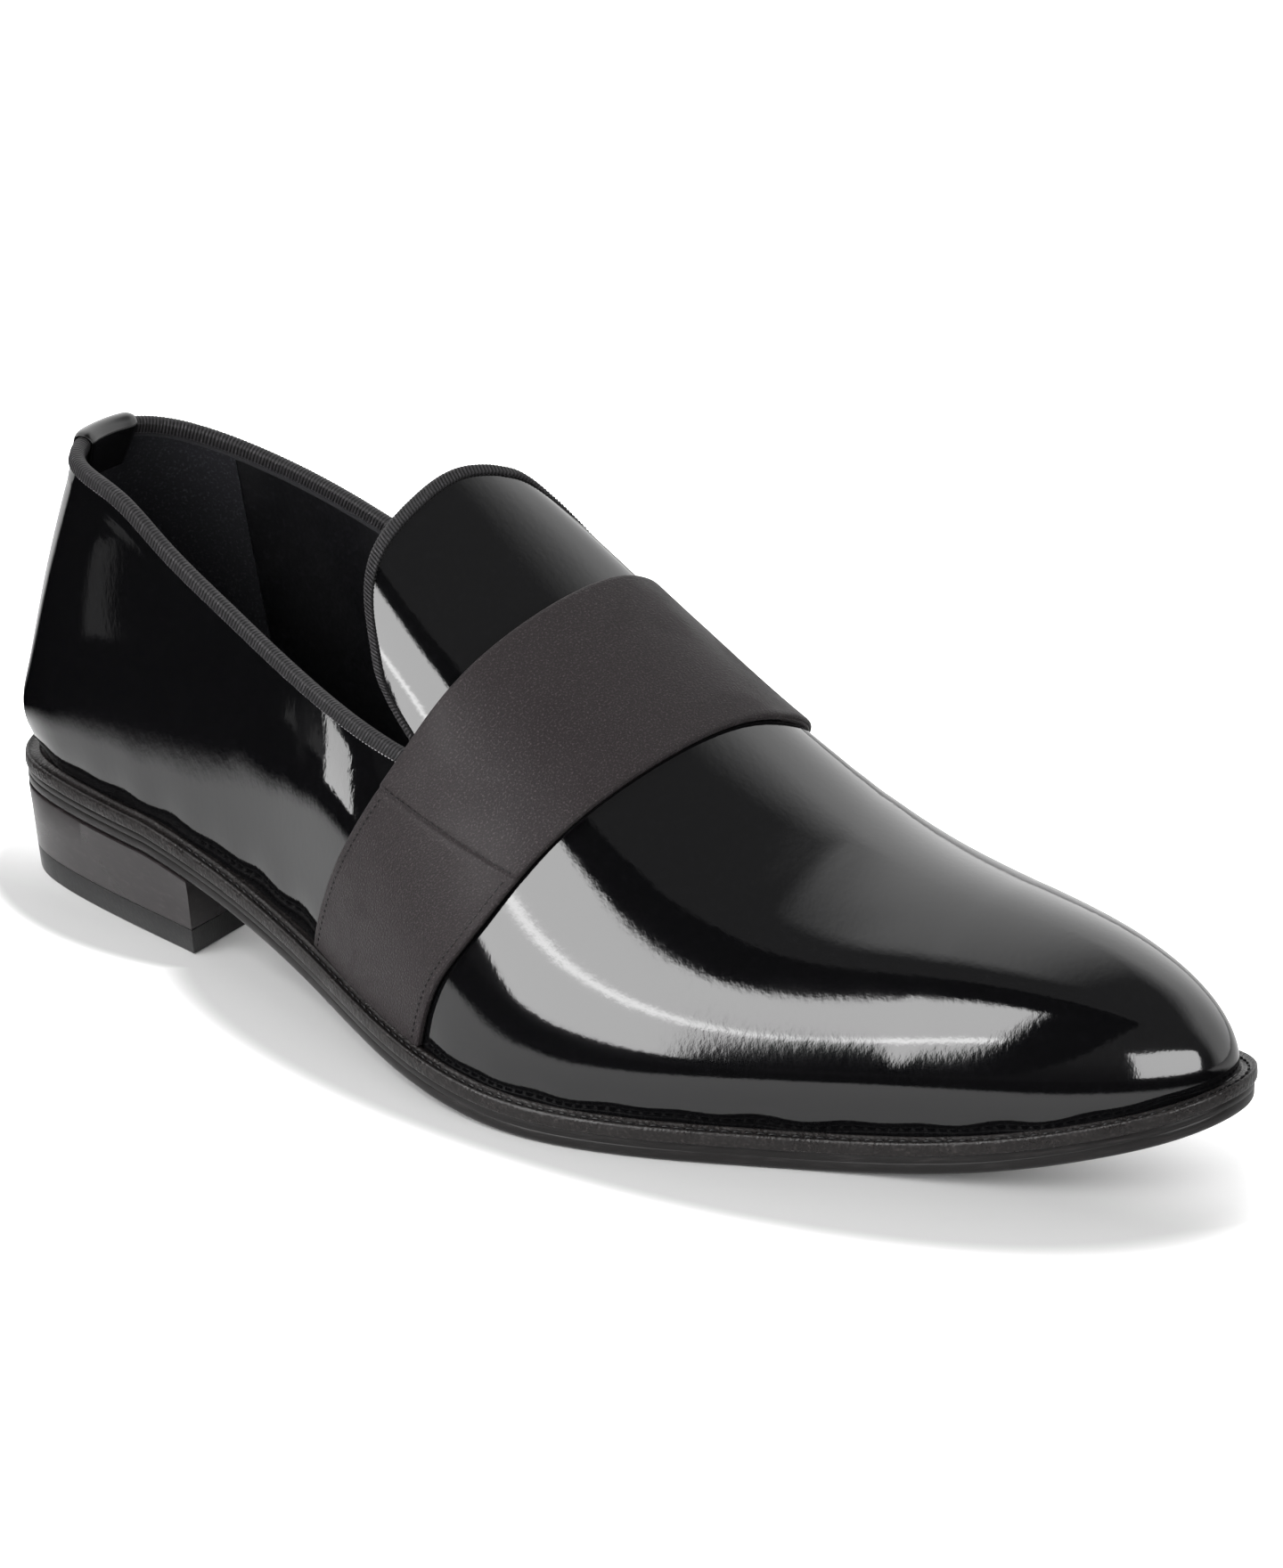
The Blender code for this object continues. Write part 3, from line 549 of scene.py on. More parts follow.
        def above(way: Array) -> Array:
            """Whether the upper stands over the collar's edge."""
            point, _ = self.surface(angle, INNER_FEATHER - way if inner else way)
            return point[..., 2] > self.topline_height(point[..., 0], inner)

        way = halve(np.full(angle.shape, 0.05), np.full(angle.shape, 0.97), above)
        return INNER_FEATHER - way if inner else way

    def angle_at_station(self, station: Array, girth: Array) -> Array:
        """Angle at which the surface reaches a station at each girth.

        Args:
            station: millimetres from the back of the heel.
            girth: girths of the last.

        Returns:
            One angle for each girth.
        """
        station, girth = np.broadcast_arrays(np.asarray(station, float), np.asarray(girth, float))

        def past(angle: Array) -> Array:
            """Whether the upper is past the station."""
            return self.surface(angle, girth)[0][..., 0] > station

        return halve(np.full(girth.shape, 0.2), np.full(girth.shape, math.pi), past)

    def find_notch(self, inner: bool) -> tuple[float, float]:
        """Angle and girth of the notch where the collar's edge meets the tongue's.

        Args:
            inner: whether it is the inner side.

        Returns:
            The notch's angle and girth.
        """
        angle = np.array([station_angle(self.notch_station(inner) / self.sole.length)])
        for _ in range(12):
            girth = self.topline_girth(angle, inner)
            angle = self.angle_at_station(self.notch_station(inner), girth)
        return float(angle[0]), float(girth[0])

    def tongue_edge_station(self, way: Array) -> Array:
        """Station of the tongue's edge on its way from the outer notch to the inner notch.

        Args:
            way: ways from 0 over the ridge at 1 to 2.

        Returns:
            One station for each way.
        """
        depth = self.outer_notch_station - self.tongue_station
        ways = [*(row.way for row in TONGUE_EDGE), 2.0]
        end = (self.inner_notch_station - self.tongue_station) / depth
        reaches = [*(row.reach for row in TONGUE_EDGE), end]
        reach = Spline(ways).weights(np.ravel(way)) @ reaches
        return self.tongue_station + depth * reach.reshape(np.shape(way))

    def edge_angle(self, girth: Array) -> Array:
        """Angle of the front of the opening: the notch on the quarters, the tongue's edge between them.

        Args:
            girth: girths of the last.

        Returns:
            One angle for each girth.
        """
        girth = np.asarray(girth, float)
        outer = np.clip((girth - self.outer_notch) / (RIDGE - self.outer_notch), 0, 1)
        inner = np.clip((girth - RIDGE) / (self.inner_notch - RIDGE), 0, 1)
        station = self.tongue_edge_station(outer + inner)
        found = self.angle_at_station(station, np.clip(girth, self.outer_notch, self.inner_notch))
        found = np.where(girth <= self.outer_notch, self.outer_notch_angle, found)
        return np.where(girth >= self.inner_notch, self.inner_notch_angle, found)

    def band_angle(self, girth: Array, front: bool) -> Array:
        """Angle of the band's front or back edge at each girth.

        Args:
            girth: girths of the last.
            front: whether it is the front edge.

        Returns:
            One angle for each girth.
        """
        shares = [row.front if front else row.back for row in BAND_ROWS]
        girth = np.asarray(girth, float)
        share = Spline([row.girth for row in BAND_ROWS]).weights(girth.ravel()) @ shares
        return self.angle_at_station(self.sole.length * share.reshape(girth.shape), girth)

    def band_edges(self, girth: Array) -> tuple[Array, Array]:
        """Angles of the band's back and front edges at each girth."""
        return self.band_angle(girth, front=False), self.band_angle(girth, front=True)

    def room_to_band(self, angle: Array, girth: Array) -> Array:
        """Millimetres of surface between a place on the upper and the band's back edge ahead of it."""
        return (self.band_angle(girth, front=False) - angle) * self.stretch(angle, girth)[0]


class Slot(Enum):
    """Material slots of the record, which the log names for each piece."""

    SOLE_EDGE = "sole_edge"
    RUBBER = "rubber"
    PATENT = "patent"
    LINING = "lining"
    RIBBON = "ribbon"
    SATIN = "satin"


@dataclass
class Shape:
    """Points, faces and cut coordinates of one piece, in millimetres in the sole's frame."""

    points: Array
    faces: list[tuple[int, ...]]
    cut: Array | None = None

    def joined(self, other: "Shape") -> "Shape":
        """This shape and another in one.

        Args:
            other: the other shape.

        Returns:
            The joined shape.
        """
        step = len(self.points)
        faces = self.faces + [tuple(v + step for v in face) for face in other.faces]
        cut = None if self.cut is None or other.cut is None else np.concatenate([self.cut, other.cut])
        return Shape(np.concatenate([self.points, other.points]), faces, cut)


def make_piece(
    name: str,
    shape: Shape,
    material: bpy.types.Material,
    slot: Slot,
    nodes: Sequence[str] = (),
    sharp: float = 45.0,
) -> bpy.types.Object:
    """Makes an object in metres from a shape, puts it on the shoe's body and reports it.

    Args:
        name: the piece's name.
        shape: its points and faces.
        material: its material.
        slot: the record's slot, which is only named in the log.
        nodes: the solids that it stands for.
        sharp: edges that turn by more than this many degrees stay sharp.

    Returns:
        The object.
    """
    mesh = bpy.data.meshes.new(name)
    points = (shape.points - BOX_MIDDLE) * MM
    mesh.from_pydata(points.tolist(), [], shape.faces)
    if shape.cut is not None:
        corners = np.zeros(len(mesh.loops), np.int32)
        mesh.loops.foreach_get("vertex_index", corners)
        layer = mesh.uv_layers.new(name="cut")
        layer.data.foreach_set("uv", (shape.cut[corners] * MM).astype(np.float32).ravel())
    mesh.materials.append(material)
    body = bmesh.new()
    body.from_mesh(mesh)
    bmesh.ops.recalc_face_normals(body, faces=body.faces)
    if body.calc_volume(signed=True) < 0:
        bmesh.ops.reverse_faces(body, faces=body.faces)
    body.to_mesh(mesh)
    body.free()
    mesh.shade_smooth()
    mesh.set_sharp_from_angle(angle=math.radians(sharp))
    piece = bpy.data.objects.new(name, mesh)
    bpy.context.scene.collection.objects.link(piece)
    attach(piece, "root")
    if nodes:
        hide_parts(*nodes)
    triangles = sum(len(face.vertices) - 2 for face in mesh.polygons)
    LOG.info("%s: %d triangles, slot %s", name, triangles, slot.value)
    return piece


def ring_faces(rings: Sequence[Sequence[int]]) -> list[tuple[int, ...]]:
    """Quads between closed rings of the same count, each ring a list of vertex numbers.

    Args:
        rings: the rings, in their order.

    Returns:
        The faces.
    """
    faces = []
    for low, high in zip(rings, rings[1:]):
        count = len(low)
        faces += [(low[i], low[(i + 1) % count], high[(i + 1) % count], high[i]) for i in range(count)]
    return faces


def sweep(sections: Array, cut: Array | None = None) -> Shape:
    """A closed body from sections along a run, each going along one side and back along the other.

    Args:
        sections: points, by place along the run and place round the section.
        cut: cut coordinates with the same layout.

    Returns:
        The shape, with strips across its two ends.
    """
    count, size = sections.shape[:2]
    rings = [list(range(i * size, (i + 1) * size)) for i in range(count)]
    faces = ring_faces(rings)
    for ring in (rings[0], rings[-1]):
        for i in range(size // 2 - 1):
            faces.append((ring[i], ring[i + 1], ring[size - 2 - i], ring[size - 1 - i]))
    return Shape(sections.reshape(-1, 3), faces, None if cut is None else cut.reshape(-1, 2))


def side_to_side(ring: Sequence[int]) -> list[tuple[int, ...]]:
    """Strips between the two halves of a ring that starts at the heel and turns at the toe.

    Args:
        ring: the ring's vertex numbers.

    Returns:
        The faces.
    """
    count = len(ring)
    half = count // 2
    faces = [(ring[0], ring[1], ring[-1]), (ring[half], ring[half - 1], ring[half + 1])]
    faces += [(ring[i], ring[i + 1], ring[count - i - 1], ring[count - i]) for i in range(1, half - 1)]
    return faces


class Skin:
    """Patches of quads on the last's surface, welded where their points meet."""

    def __init__(self, last: Last) -> None:
        """Starts with no patch."""
        self.last = last
        self.angles, self.girths, self.quads, self.count = [], [], [], 0

    def patch(self, angle: Array, girth: Array) -> None:
        """Adds a grid of quads, whose rows run forward and whose columns run to the inner side.

        Args:
            angle: the grid's angles.
            girth: the grid's girths.
        """
        rows, columns = angle.shape
        index = np.arange(rows * columns).reshape(rows, columns) + self.count
        corners = (index[:-1, :-1], index[1:, :-1], index[1:, 1:], index[:-1, 1:])
        self.quads.append(np.stack([c.ravel() for c in corners], axis=1))
        self.angles.append(angle.ravel())
        self.girths.append(girth.ravel())
        self.count += rows * columns

    def solid(self, outer_lift: float, inner_lift: float, relief: "Relief | None" = None) -> Shape:
        """A closed wall between two offsets of the skin.

        Args:
            outer_lift: offset of the outer face along the normal.
            inner_lift: offset of the inner face.
            relief: soft forms that are added to the outer face.

        Returns:
            The wall, whose feather edges stand on the welt.
        """
        angle, girth = np.concatenate(self.angles), np.concatenate(self.girths)
        point, normal = self.last.surface(angle, girth)
        _, first, back = np.unique(np.round(point, 3), axis=0, return_index=True, return_inverse=True)
        back = np.ravel(back)
        point, normal, angle, girth = point[first], normal[first], angle[first], girth[first]
        faces = [tuple(dict.fromkeys(quad)) for quad in back[np.concatenate(self.quads)].tolist()]
        faces = [face for face in faces if len(face) > 2]
        lift = outer_lift + (relief.height(angle, girth, point) if relief else 0.0)
        outer, inner = point + normal * np.reshape(lift, (-1, 1)), point + inner_lift * normal
        low = (girth <= 0.0) | (girth >= INNER_FEATHER)
        for side in (outer, inner):
            side[low, 2] = self.last.sole.welt_top(side[low, 0])
        edges = {(a, b) for face in faces for a, b in zip(face, face[1:] + face[:1])}
        rim = [(a, b) for a, b in edges if (b, a) not in edges]
        count = len(point)
        faces += [tuple(v + count for v in reversed(face)) for face in faces]
        faces += [(b, a, a + count, b + count) for a, b in sorted(rim)]
        return Shape(np.concatenate([outer, inner]), faces)


class Fold(NamedTuple):
    """A soft trough or swell in the leather: its place, length, width, height and slant."""

    station: float
    girth: float
    length: float
    width: float
    height: float
    slant: float


FOLDS = (
    Fold(198.0, 0.78, 26.0, 5.0, -0.16, 18.0),
    Fold(207.0, 0.70, 24.0, 4.5, 0.10, 14.0),
    Fold(213.0, 0.90, 30.0, 5.5, -0.14, -8.0),
    Fold(205.0, 1.20, 26.0, 6.0, -0.16, -20.0),
    Fold(192.0, 1.35, 22.0, 5.0, -0.14, -28.0),
    Fold(232.0, 0.76, 18.0, 9.0, -0.10, 62.0),
    Fold(96.0, 0.30, 20.0, 6.0, -0.18, -14.0),
    Fold(84.0, 0.26, 16.0, 6.0, 0.14, -18.0),
    Fold(104.0, 1.66, 20.0, 6.0, -0.18, 14.0),
    Fold(120.0, 0.16, 12.0, 5.0, -0.14, 24.0),
    Fold(126.0, 1.84, 12.0, 5.0, -0.14, -24.0),
)


class Swell(NamedTuple):
    """A wide, soft swell or hollow of the leather over the foot: its middle in millimetres and its height."""

    x: float
    y: float
    z: float
    height: float


SWELLS = (
    Swell(115.0, -21.0, 104.0, 0.11),
    Swell(159.0, -60.0, 26.0, -0.21),
    Swell(175.0, -51.0, 45.0, -0.32),
    Swell(190.0, -10.0, 63.0, 0.07),
    Swell(194.0, -55.0, 27.0, -0.23),
    Swell(210.0, -29.0, 46.0, 0.20),
    Swell(226.0, -45.0, 14.0, 0.78),
    Swell(245.0, -33.0, 27.0, 0.60),
    Swell(270.0, -26.0, 22.0, -0.16),
    Swell(293.0, -5.0, 34.0, -0.21),
)


@dataclass
class Relief:
    """Soft forms of the drawn leather: swells, flex folds, the counter's ridge, the toe cap, ripples."""

    last: Last
    swell_width: float = 34.0
    swell_foot: tuple[float, float] = (1.2, 15.2)
    counter_depth: float = 4.8
    counter_height: float = 0.16
    counter_width: float = 0.9
    counter_reach: float = 0.95
    counter_fade: float = 0.3
    toe_cap_station: float = 246.0
    toe_cap_run: float = 3.0
    toe_cap_height: float = 0.10
    ripple_height: float = 0.12
    ripple_reach: float = 0.055
    ripple_steps: tuple[float, float] = (15.0, 23.0)
    ripple_mix: tuple[float, float] = (0.7, 1.3)
    ripple_way: float = 0.02

    def height(self, angle: Array, girth: Array, point: Array) -> Array:
        """Millimetres that the outer face stands out at each point of the skin.

        Args:
            angle: the points' angles.
            girth: the points' girths.
            point: the points themselves.

        Returns:
            One height for each point.
        """
        total = np.zeros(len(angle))
        for fold in FOLDS:
            total += self.fold_height(fold, point)
        total += self.swells(point) + self.ripples(angle, girth, point) + self.counter(angle, girth)
        start, end = self.toe_cap_station - self.toe_cap_run, self.toe_cap_station + self.toe_cap_run
        return total + self.toe_cap_height * smooth_step(point[:, 0], start, end)

    def swells(self, point: Array) -> Array:
        """The wide swells together, dying out down at the welt.

        Args:
            point: points of the skin.

        Returns:
            One height for each point.
        """
        total = np.zeros(len(point))
        for swell in SWELLS:
            away = np.linalg.norm(point - np.array(swell[:3]), axis=1)
            total += swell.height * bell(away, self.swell_width)
        return total * smooth_step(point[:, 2] - self.last.feather_height(point[:, 0]), *self.swell_foot)

    def fold_height(self, fold: Fold, point: Array) -> Array:
        """One soft fold, long in one direction and narrow across it.

        Args:
            fold: the fold.
            point: points of the skin.

        Returns:
            One height for each point.
        """
        girth = np.array([fold.girth])
        middle = self.last.angle_at_station([fold.station], girth)
        here, _ = self.last.surface(middle, girth)
        ahead, _ = self.last.surface(middle + 0.01, girth)
        beside, _ = self.last.surface(middle, girth + 0.01)
        forward, round_ = (v[0] / np.linalg.norm(v[0]) for v in (ahead - here, beside - here))
        slant = math.radians(fold.slant)
        line = math.cos(slant) * round_ + math.sin(slant) * forward
        cross = math.cos(slant) * forward - math.sin(slant) * round_
        away = point - here[0]
        return fold.height * bell(away @ line, fold.length / 2) * bell(away @ cross, fold.width / 2)

    def ripples(self, angle: Array, girth: Array, point: Array) -> Array:
        """Small waves where the leather is pulled under, dying out a little above the welt.

        Args:
            angle: the points' angles.
            girth: the points' girths.
            point: the points themselves.

        Returns:
            One height for each point.
        """
        way = np.minimum(girth, INNER_FEATHER - girth)
        run = 2 * math.pi * point[:, 0]
        (first, second), (share, phase) = self.ripple_steps, self.ripple_mix
        wave = np.sin(run / first) + share * np.sin(run / second + phase)
        near = bell(way - self.ripple_way, self.ripple_reach)
        return self.ripple_height * wave * near * smooth_step(angle, 0.0, 0.3)

    def counter(self, angle: Array, girth: Array) -> Array:
        """The faint ridge that the heel's stiffener makes below the collar.

        Args:
            angle: the points' angles.
            girth: the points' girths.

        Returns:
            One height for each point.
        """
        total = np.zeros(len(angle))
        near = angle < self.counter_reach
        for inner in (False, True):
            side = near & ((girth > RIDGE) == inner)
            turn, where = angle[side], girth[side]
            top = self.last.topline_girth(turn, inner)
            depth = np.abs(top - where) * self.last.stretch(turn, top)[1]
            fade = 1 - smooth_step(turn, self.counter_reach - self.counter_fade, self.counter_reach)
            total[side] = self.counter_height * bell(depth - self.counter_depth, self.counter_width) * fade
        return total


def crowded(steps: int, crowding: float = 0.4) -> Array:
    """Shares from 0 to 1 that lie closer together at both ends."""
    even = np.linspace(0, 1, steps + 1)
    return even - crowding * np.sin(2 * math.pi * even) / (2 * math.pi)


@dataclass
class Graph:
    """Wires the nodes of one material or node group."""

    tree: bpy.types.NodeTree

    def add(self, kind: str, inputs: dict | None = None, **settings: object) -> bpy.types.Node:
        """Adds a node.

        Args:
            kind: the node's type name.
            inputs: values or sockets by the input's name or number.
            settings: the node's own properties.

        Returns:
            The node.
        """
        node = self.tree.nodes.new(kind)
        for name, value in settings.items():
            setattr(node, name, value)
        for key, value in (inputs or {}).items():
            if isinstance(value, Socket):
                self.tree.links.new(value, node.inputs[key])
            else:
                node.inputs[key].default_value = value
        return node

    def maths(self, operation: str, first: object, second: object = 0.0) -> Socket:
        """The result of one sum on two values or sockets."""
        return self.add("ShaderNodeMath", {0: first, 1: second}, operation=operation).outputs[0]

    def scaled(self, vector: Socket, by: Sequence[float]) -> Socket:
        """A vector with each of its parts multiplied."""
        return self.add("ShaderNodeVectorMath", {0: vector, 1: tuple(by)}, operation="MULTIPLY").outputs[0]

    def blend(self, factor: Socket, first: Colour, second: Colour) -> Socket:
        """A colour between two, by a factor from 0 to 1."""
        inputs = {0: factor, 6: (*first, 1.0), 7: (*second, 1.0)}
        return self.add("ShaderNodeMix", inputs, data_type="RGBA").outputs[2]

    def spread(self, value: Socket, ends: Sequence[float], to: Sequence[float]) -> Socket:
        """A value moved smoothly from one range to another."""
        inputs = dict(zip(RANGE_INPUTS, (value, *ends, *to)))
        return self.add("ShaderNodeMapRange", inputs, interpolation_type="SMOOTHSTEP").outputs[0]


class GroupName(Enum):
    """Shader node groups that several finishes share."""

    GRAIN = "fine grain"
    DRIFT = "slow drift"


def new_group(name: GroupName, inputs: Sequence[tuple[str, str, float]], outputs: Sequence[str]) -> Graph:
    """A node group with named sockets.

    Args:
        name: the group's name.
        inputs: each input's name, socket type and first value.
        outputs: the names of its number outputs.

    Returns:
        The group's graph.
    """
    tree = bpy.data.node_groups.new(name.value, "ShaderNodeTree")
    for label, kind, value in inputs:
        socket = tree.interface.new_socket(name=label, in_out="INPUT", socket_type=kind)
        if kind == "NodeSocketFloat":
            socket.default_value = value
    for label in outputs:
        tree.interface.new_socket(name=label, in_out="OUTPUT", socket_type="NodeSocketFloat")
    return Graph(tree)


def build_grain_group() -> None:
    """Fine grain: a height of small rounded cells and fibres, and a mask of the lighter flecks."""
    sockets = (
        ("Coordinates", "NodeSocketVector", 0.0),
        ("Scale", "NodeSocketFloat", 1000.0),
        ("Cells", "NodeSocketFloat", 0.5),
    )
    graph = new_group(GroupName.GRAIN, sockets, ("Height", "Flecks"))
    given = graph.add("NodeGroupInput").outputs
    inputs = {"Vector": given[0], "Scale": given[1], "Detail": 3.0, "Roughness": 0.6}
    noise = graph.add("ShaderNodeTexNoise", inputs)
    cells = graph.add("ShaderNodeTexVoronoi", {"Vector": given[0], "Scale": given[1]})
    height = graph.add("ShaderNodeMix", {0: given[2], 2: noise.outputs[0], 3: cells.outputs[0]})
    flecks = graph.spread(noise.outputs[0], (0.5, 0.78), (0.0, 1.0))
    graph.add("NodeGroupOutput", {0: height.outputs[0], 1: flecks})


def build_drift_group() -> None:
    """Slow drift: a mask that wanders over the surface, for handling marks and uneven polish."""
    sockets = (("Coordinates", "NodeSocketVector", 0.0), ("Scale", "NodeSocketFloat", 30.0))
    graph = new_group(GroupName.DRIFT, sockets, ("Mask",))
    given = graph.add("NodeGroupInput").outputs
    inputs = {"Vector": given[0], "Scale": given[1], "Detail": 4.0, "Roughness": 0.55, "Distortion": 0.6}
    noise = graph.add("ShaderNodeTexNoise", inputs)
    graph.add("NodeGroupOutput", {0: graph.spread(noise.outputs[0], (0.35, 0.7), (0.0, 1.0))})


@dataclass(frozen=True)
class Finish:
    """A finish: its plain colour, roughness and sheen, and the grain that stands on it."""

    name: str
    colour: Colour
    light: Colour
    roughness: tuple[float, float]
    grain_scale: float = 1000.0
    grain_stretch: tuple[float, float, float] = (1.0, 1.0, 1.0)
    grain_height: float = 0.00002
    cells: float = 0.5
    drift_scale: float = 30.0
    sheen: float = 0.0
    sheen_roughness: float = 0.45
    specular: float = 0.5

    def material(self) -> bpy.types.Material:
        """Makes the finish's material.

        Returns:
            The material, with its grain and drift in its colour, roughness and bump.
        """
        material = bpy.data.materials.new(self.name)
        material.use_nodes = True
        graph = Graph(material.node_tree)
        shader = material.node_tree.nodes["Principled BSDF"]
        shader.inputs["Sheen Weight"].default_value = self.sheen
        shader.inputs["Sheen Roughness"].default_value = self.sheen_roughness
        shader.inputs["Specular IOR Level"].default_value = self.specular
        place = self.coordinates(graph)
        grain = self.group(graph, GroupName.GRAIN, graph.scaled(place, self.grain_stretch), self.grain_scale)
        grain.inputs["Cells"].default_value = self.cells
        drift = self.group(graph, GroupName.DRIFT, place, self.drift_scale)
        colour, height = self.detail(graph, place, grain)
        graph.tree.links.new(colour, shader.inputs["Base Color"])
        rough = graph.spread(drift.outputs[0], (0.0, 1.0), self.roughness)
        graph.tree.links.new(rough, shader.inputs["Roughness"])
        bump = graph.add("ShaderNodeBump", {"Height": height, "Distance": self.grain_height})
        graph.tree.links.new(bump.outputs[0], shader.inputs["Normal"])
        return material

    def coordinates(self, graph: Graph) -> Socket:
        """Places on the piece, in metres."""
        return graph.add("ShaderNodeTexCoord").outputs["Object"]

    def group(self, graph: Graph, name: GroupName, place: Socket, scale: float) -> bpy.types.Node:
        """One of the shared groups, with its coordinates and scale.

        Args:
            graph: the material's graph.
            name: the group's name.
            place: its coordinates.
            scale: its scale.

        Returns:
            The group's node.
        """
        node = graph.add("ShaderNodeGroup", node_tree=bpy.data.node_groups[name.value])
        graph.tree.links.new(place, node.inputs["Coordinates"])
        node.inputs["Scale"].default_value = scale
        return node

    def detail(self, graph: Graph, place: Socket, grain: bpy.types.Node) -> tuple[Socket, Socket]:
        """Colour and height of the finish.

        Args:
            graph: the material's graph.
            place: places on the piece.
            grain: the grain's group node.

        Returns:
            The sockets of the colour and of the height.
        """
        return graph.blend(grain.outputs["Flecks"], self.colour, self.light), grain.outputs["Height"]


@dataclass(frozen=True)
class CutFinish(Finish):
    """A finish that follows the cut of a ribbon: the first way runs along it and the second across."""

    def coordinates(self, graph: Graph) -> Socket:
        """Places on the flat ribbon, in metres."""
        return graph.add("ShaderNodeUVMap", uv_map="cut").outputs[0]


@dataclass(frozen=True)
class RibFinish(CutFinish):
    """Ribbed ribbon: pale cords across it, and painted shade that darkens the furrows between them."""

    furrow_painted_shade: Colour = (0.0012, 0.0011, 0.0012)
    furrow_shade_ends: tuple[float, float] = (-0.7, 0.6)

    def detail(self, graph: Graph, place: Socket, grain: bpy.types.Node) -> tuple[Socket, Socket]:
        """Colour and height, with painted shade darkening each valley of the ribs.

        Args:
            graph: the material's graph.
            place: places on the flat ribbon.
            grain: the grain's group node.

        Returns:
            The sockets of the colour and of the height.
        """
        colour, height = super().detail(graph, place, grain)
        run = graph.add("ShaderNodeSeparateXYZ", {0: place}).outputs[0]
        wave = graph.maths("COSINE", graph.maths("MULTIPLY", run, 2 * math.pi / (RIB_PITCH * MM)))
        # painted shade: the ribbon's colour turns near black in each valley between the ribs
        depth = graph.spread(wave, self.furrow_shade_ends, (1.0, 0.0))
        inputs = {0: depth, 6: colour, 7: (*self.furrow_painted_shade, 1.0)}
        return graph.add("ShaderNodeMix", inputs, data_type="RGBA").outputs[2], height


class Finishes:
    """Every finish of the shoe, made once."""

    def __init__(self) -> None:
        """Builds the shared groups and the materials."""
        build_grain_group()
        build_drift_group()
        self.patent = Finish(
            "patent leather", (0.0016, 0.0016, 0.0018), (0.0024, 0.0024, 0.0027), (0.045, 0.085),
            grain_scale=700.0, grain_stretch=(1.0, 1.0, 0.6), grain_height=0.000022, cells=0.15,
            drift_scale=22.0, specular=0.55,
        ).material()
        self.tab_patent = Finish(
            "back strip patent", (0.0018, 0.0018, 0.0020), (0.0030, 0.0030, 0.0033), (0.07, 0.12),
            grain_scale=700.0, grain_height=0.000012, cells=0.2,
        ).material()
        self.lining = Finish(
            "leather lining", (0.0026, 0.0026, 0.0031), (0.0072, 0.0072, 0.0083), (0.38, 0.52),
            grain_scale=900.0, grain_height=0.00006, cells=0.7, specular=0.15,
        ).material()
        self.suede = Finish(
            "heel lining suede", (0.0058, 0.0060, 0.0074), (0.0200, 0.0204, 0.0236), (0.85, 0.95),
            grain_scale=1500.0, grain_height=0.00012, cells=0.2, sheen=0.04, specular=0.1,
        ).material()
        self.ribbed = RibFinish(
            "ribbed ribbon", (0.0150, 0.0142, 0.0154), (0.0540, 0.0514, 0.0548), (0.50, 0.62),
            grain_scale=2600.0, grain_stretch=(1.0, 0.25, 1.0), grain_height=0.00005, cells=0.1, sheen=0.05,
            specular=0.15,
        ).material()
        self.plain_tape = CutFinish(
            "plain tape", (0.0120, 0.0120, 0.0135), (0.0260, 0.0260, 0.0285), (0.60, 0.70),
            grain_scale=2400.0, grain_height=0.00005, cells=0.2, sheen=0.05, specular=0.15,
        ).material()
        self.satin = CutFinish(
            "instep satin", (0.0120, 0.0100, 0.0105), (0.0500, 0.0424, 0.0440), (0.42, 0.58),
            grain_scale=2000.0, grain_stretch=(1.0, 1.3, 1.0), grain_height=0.00020, cells=0.25,
            drift_scale=60.0, sheen=0.03, specular=0.1,
        ).material()
        self.thread = Finish(
            "waxed thread", (0.0022, 0.0020, 0.0022), (0.0080, 0.0078, 0.0082), (0.35, 0.45),
            grain_scale=3000.0, grain_height=0.00004, specular=0.15,
        ).material()
        self.pale_thread = Finish(
            "edge thread", (0.2600, 0.2550, 0.2600), (0.5200, 0.5150, 0.5200), (0.30, 0.40),
            grain_scale=3000.0, grain_height=0.00004, specular=0.2,
        ).material()
        self.sole_edge = CutFinish(
            "dressed sole edge", (0.0042, 0.0037, 0.0037), (0.0120, 0.0105, 0.0106), (0.30, 0.42),
            grain_scale=900.0, grain_stretch=(0.12, 1.0, 1.0), grain_height=0.00003, cells=0.2,
            drift_scale=45.0, specular=0.2,
        ).material()
        self.heel_stack = CutFinish(
            "dressed heel", (0.0086, 0.0070, 0.0074), (0.0200, 0.0166, 0.0174), (0.26, 0.38),
            grain_scale=700.0, grain_stretch=(0.4, 1.0, 1.0), grain_height=0.00002, cells=0.2,
            drift_scale=30.0, specular=0.3,
        ).material()
        self.rubber = CutFinish(
            "top lift rubber", (0.0070, 0.0070, 0.0072), (0.0180, 0.0170, 0.0175), (0.34, 0.48),
            grain_scale=1100.0, grain_height=0.00004, cells=0.4, drift_scale=50.0, specular=0.2,
        ).material()
        self.welt = Finish(
            "welt leather", (0.0058, 0.0050, 0.0049), (0.0220, 0.0192, 0.0186), (0.26, 0.44),
            grain_scale=1300.0, grain_height=0.00016, cells=0.5, drift_scale=120.0, specular=0.2,
        ).material()


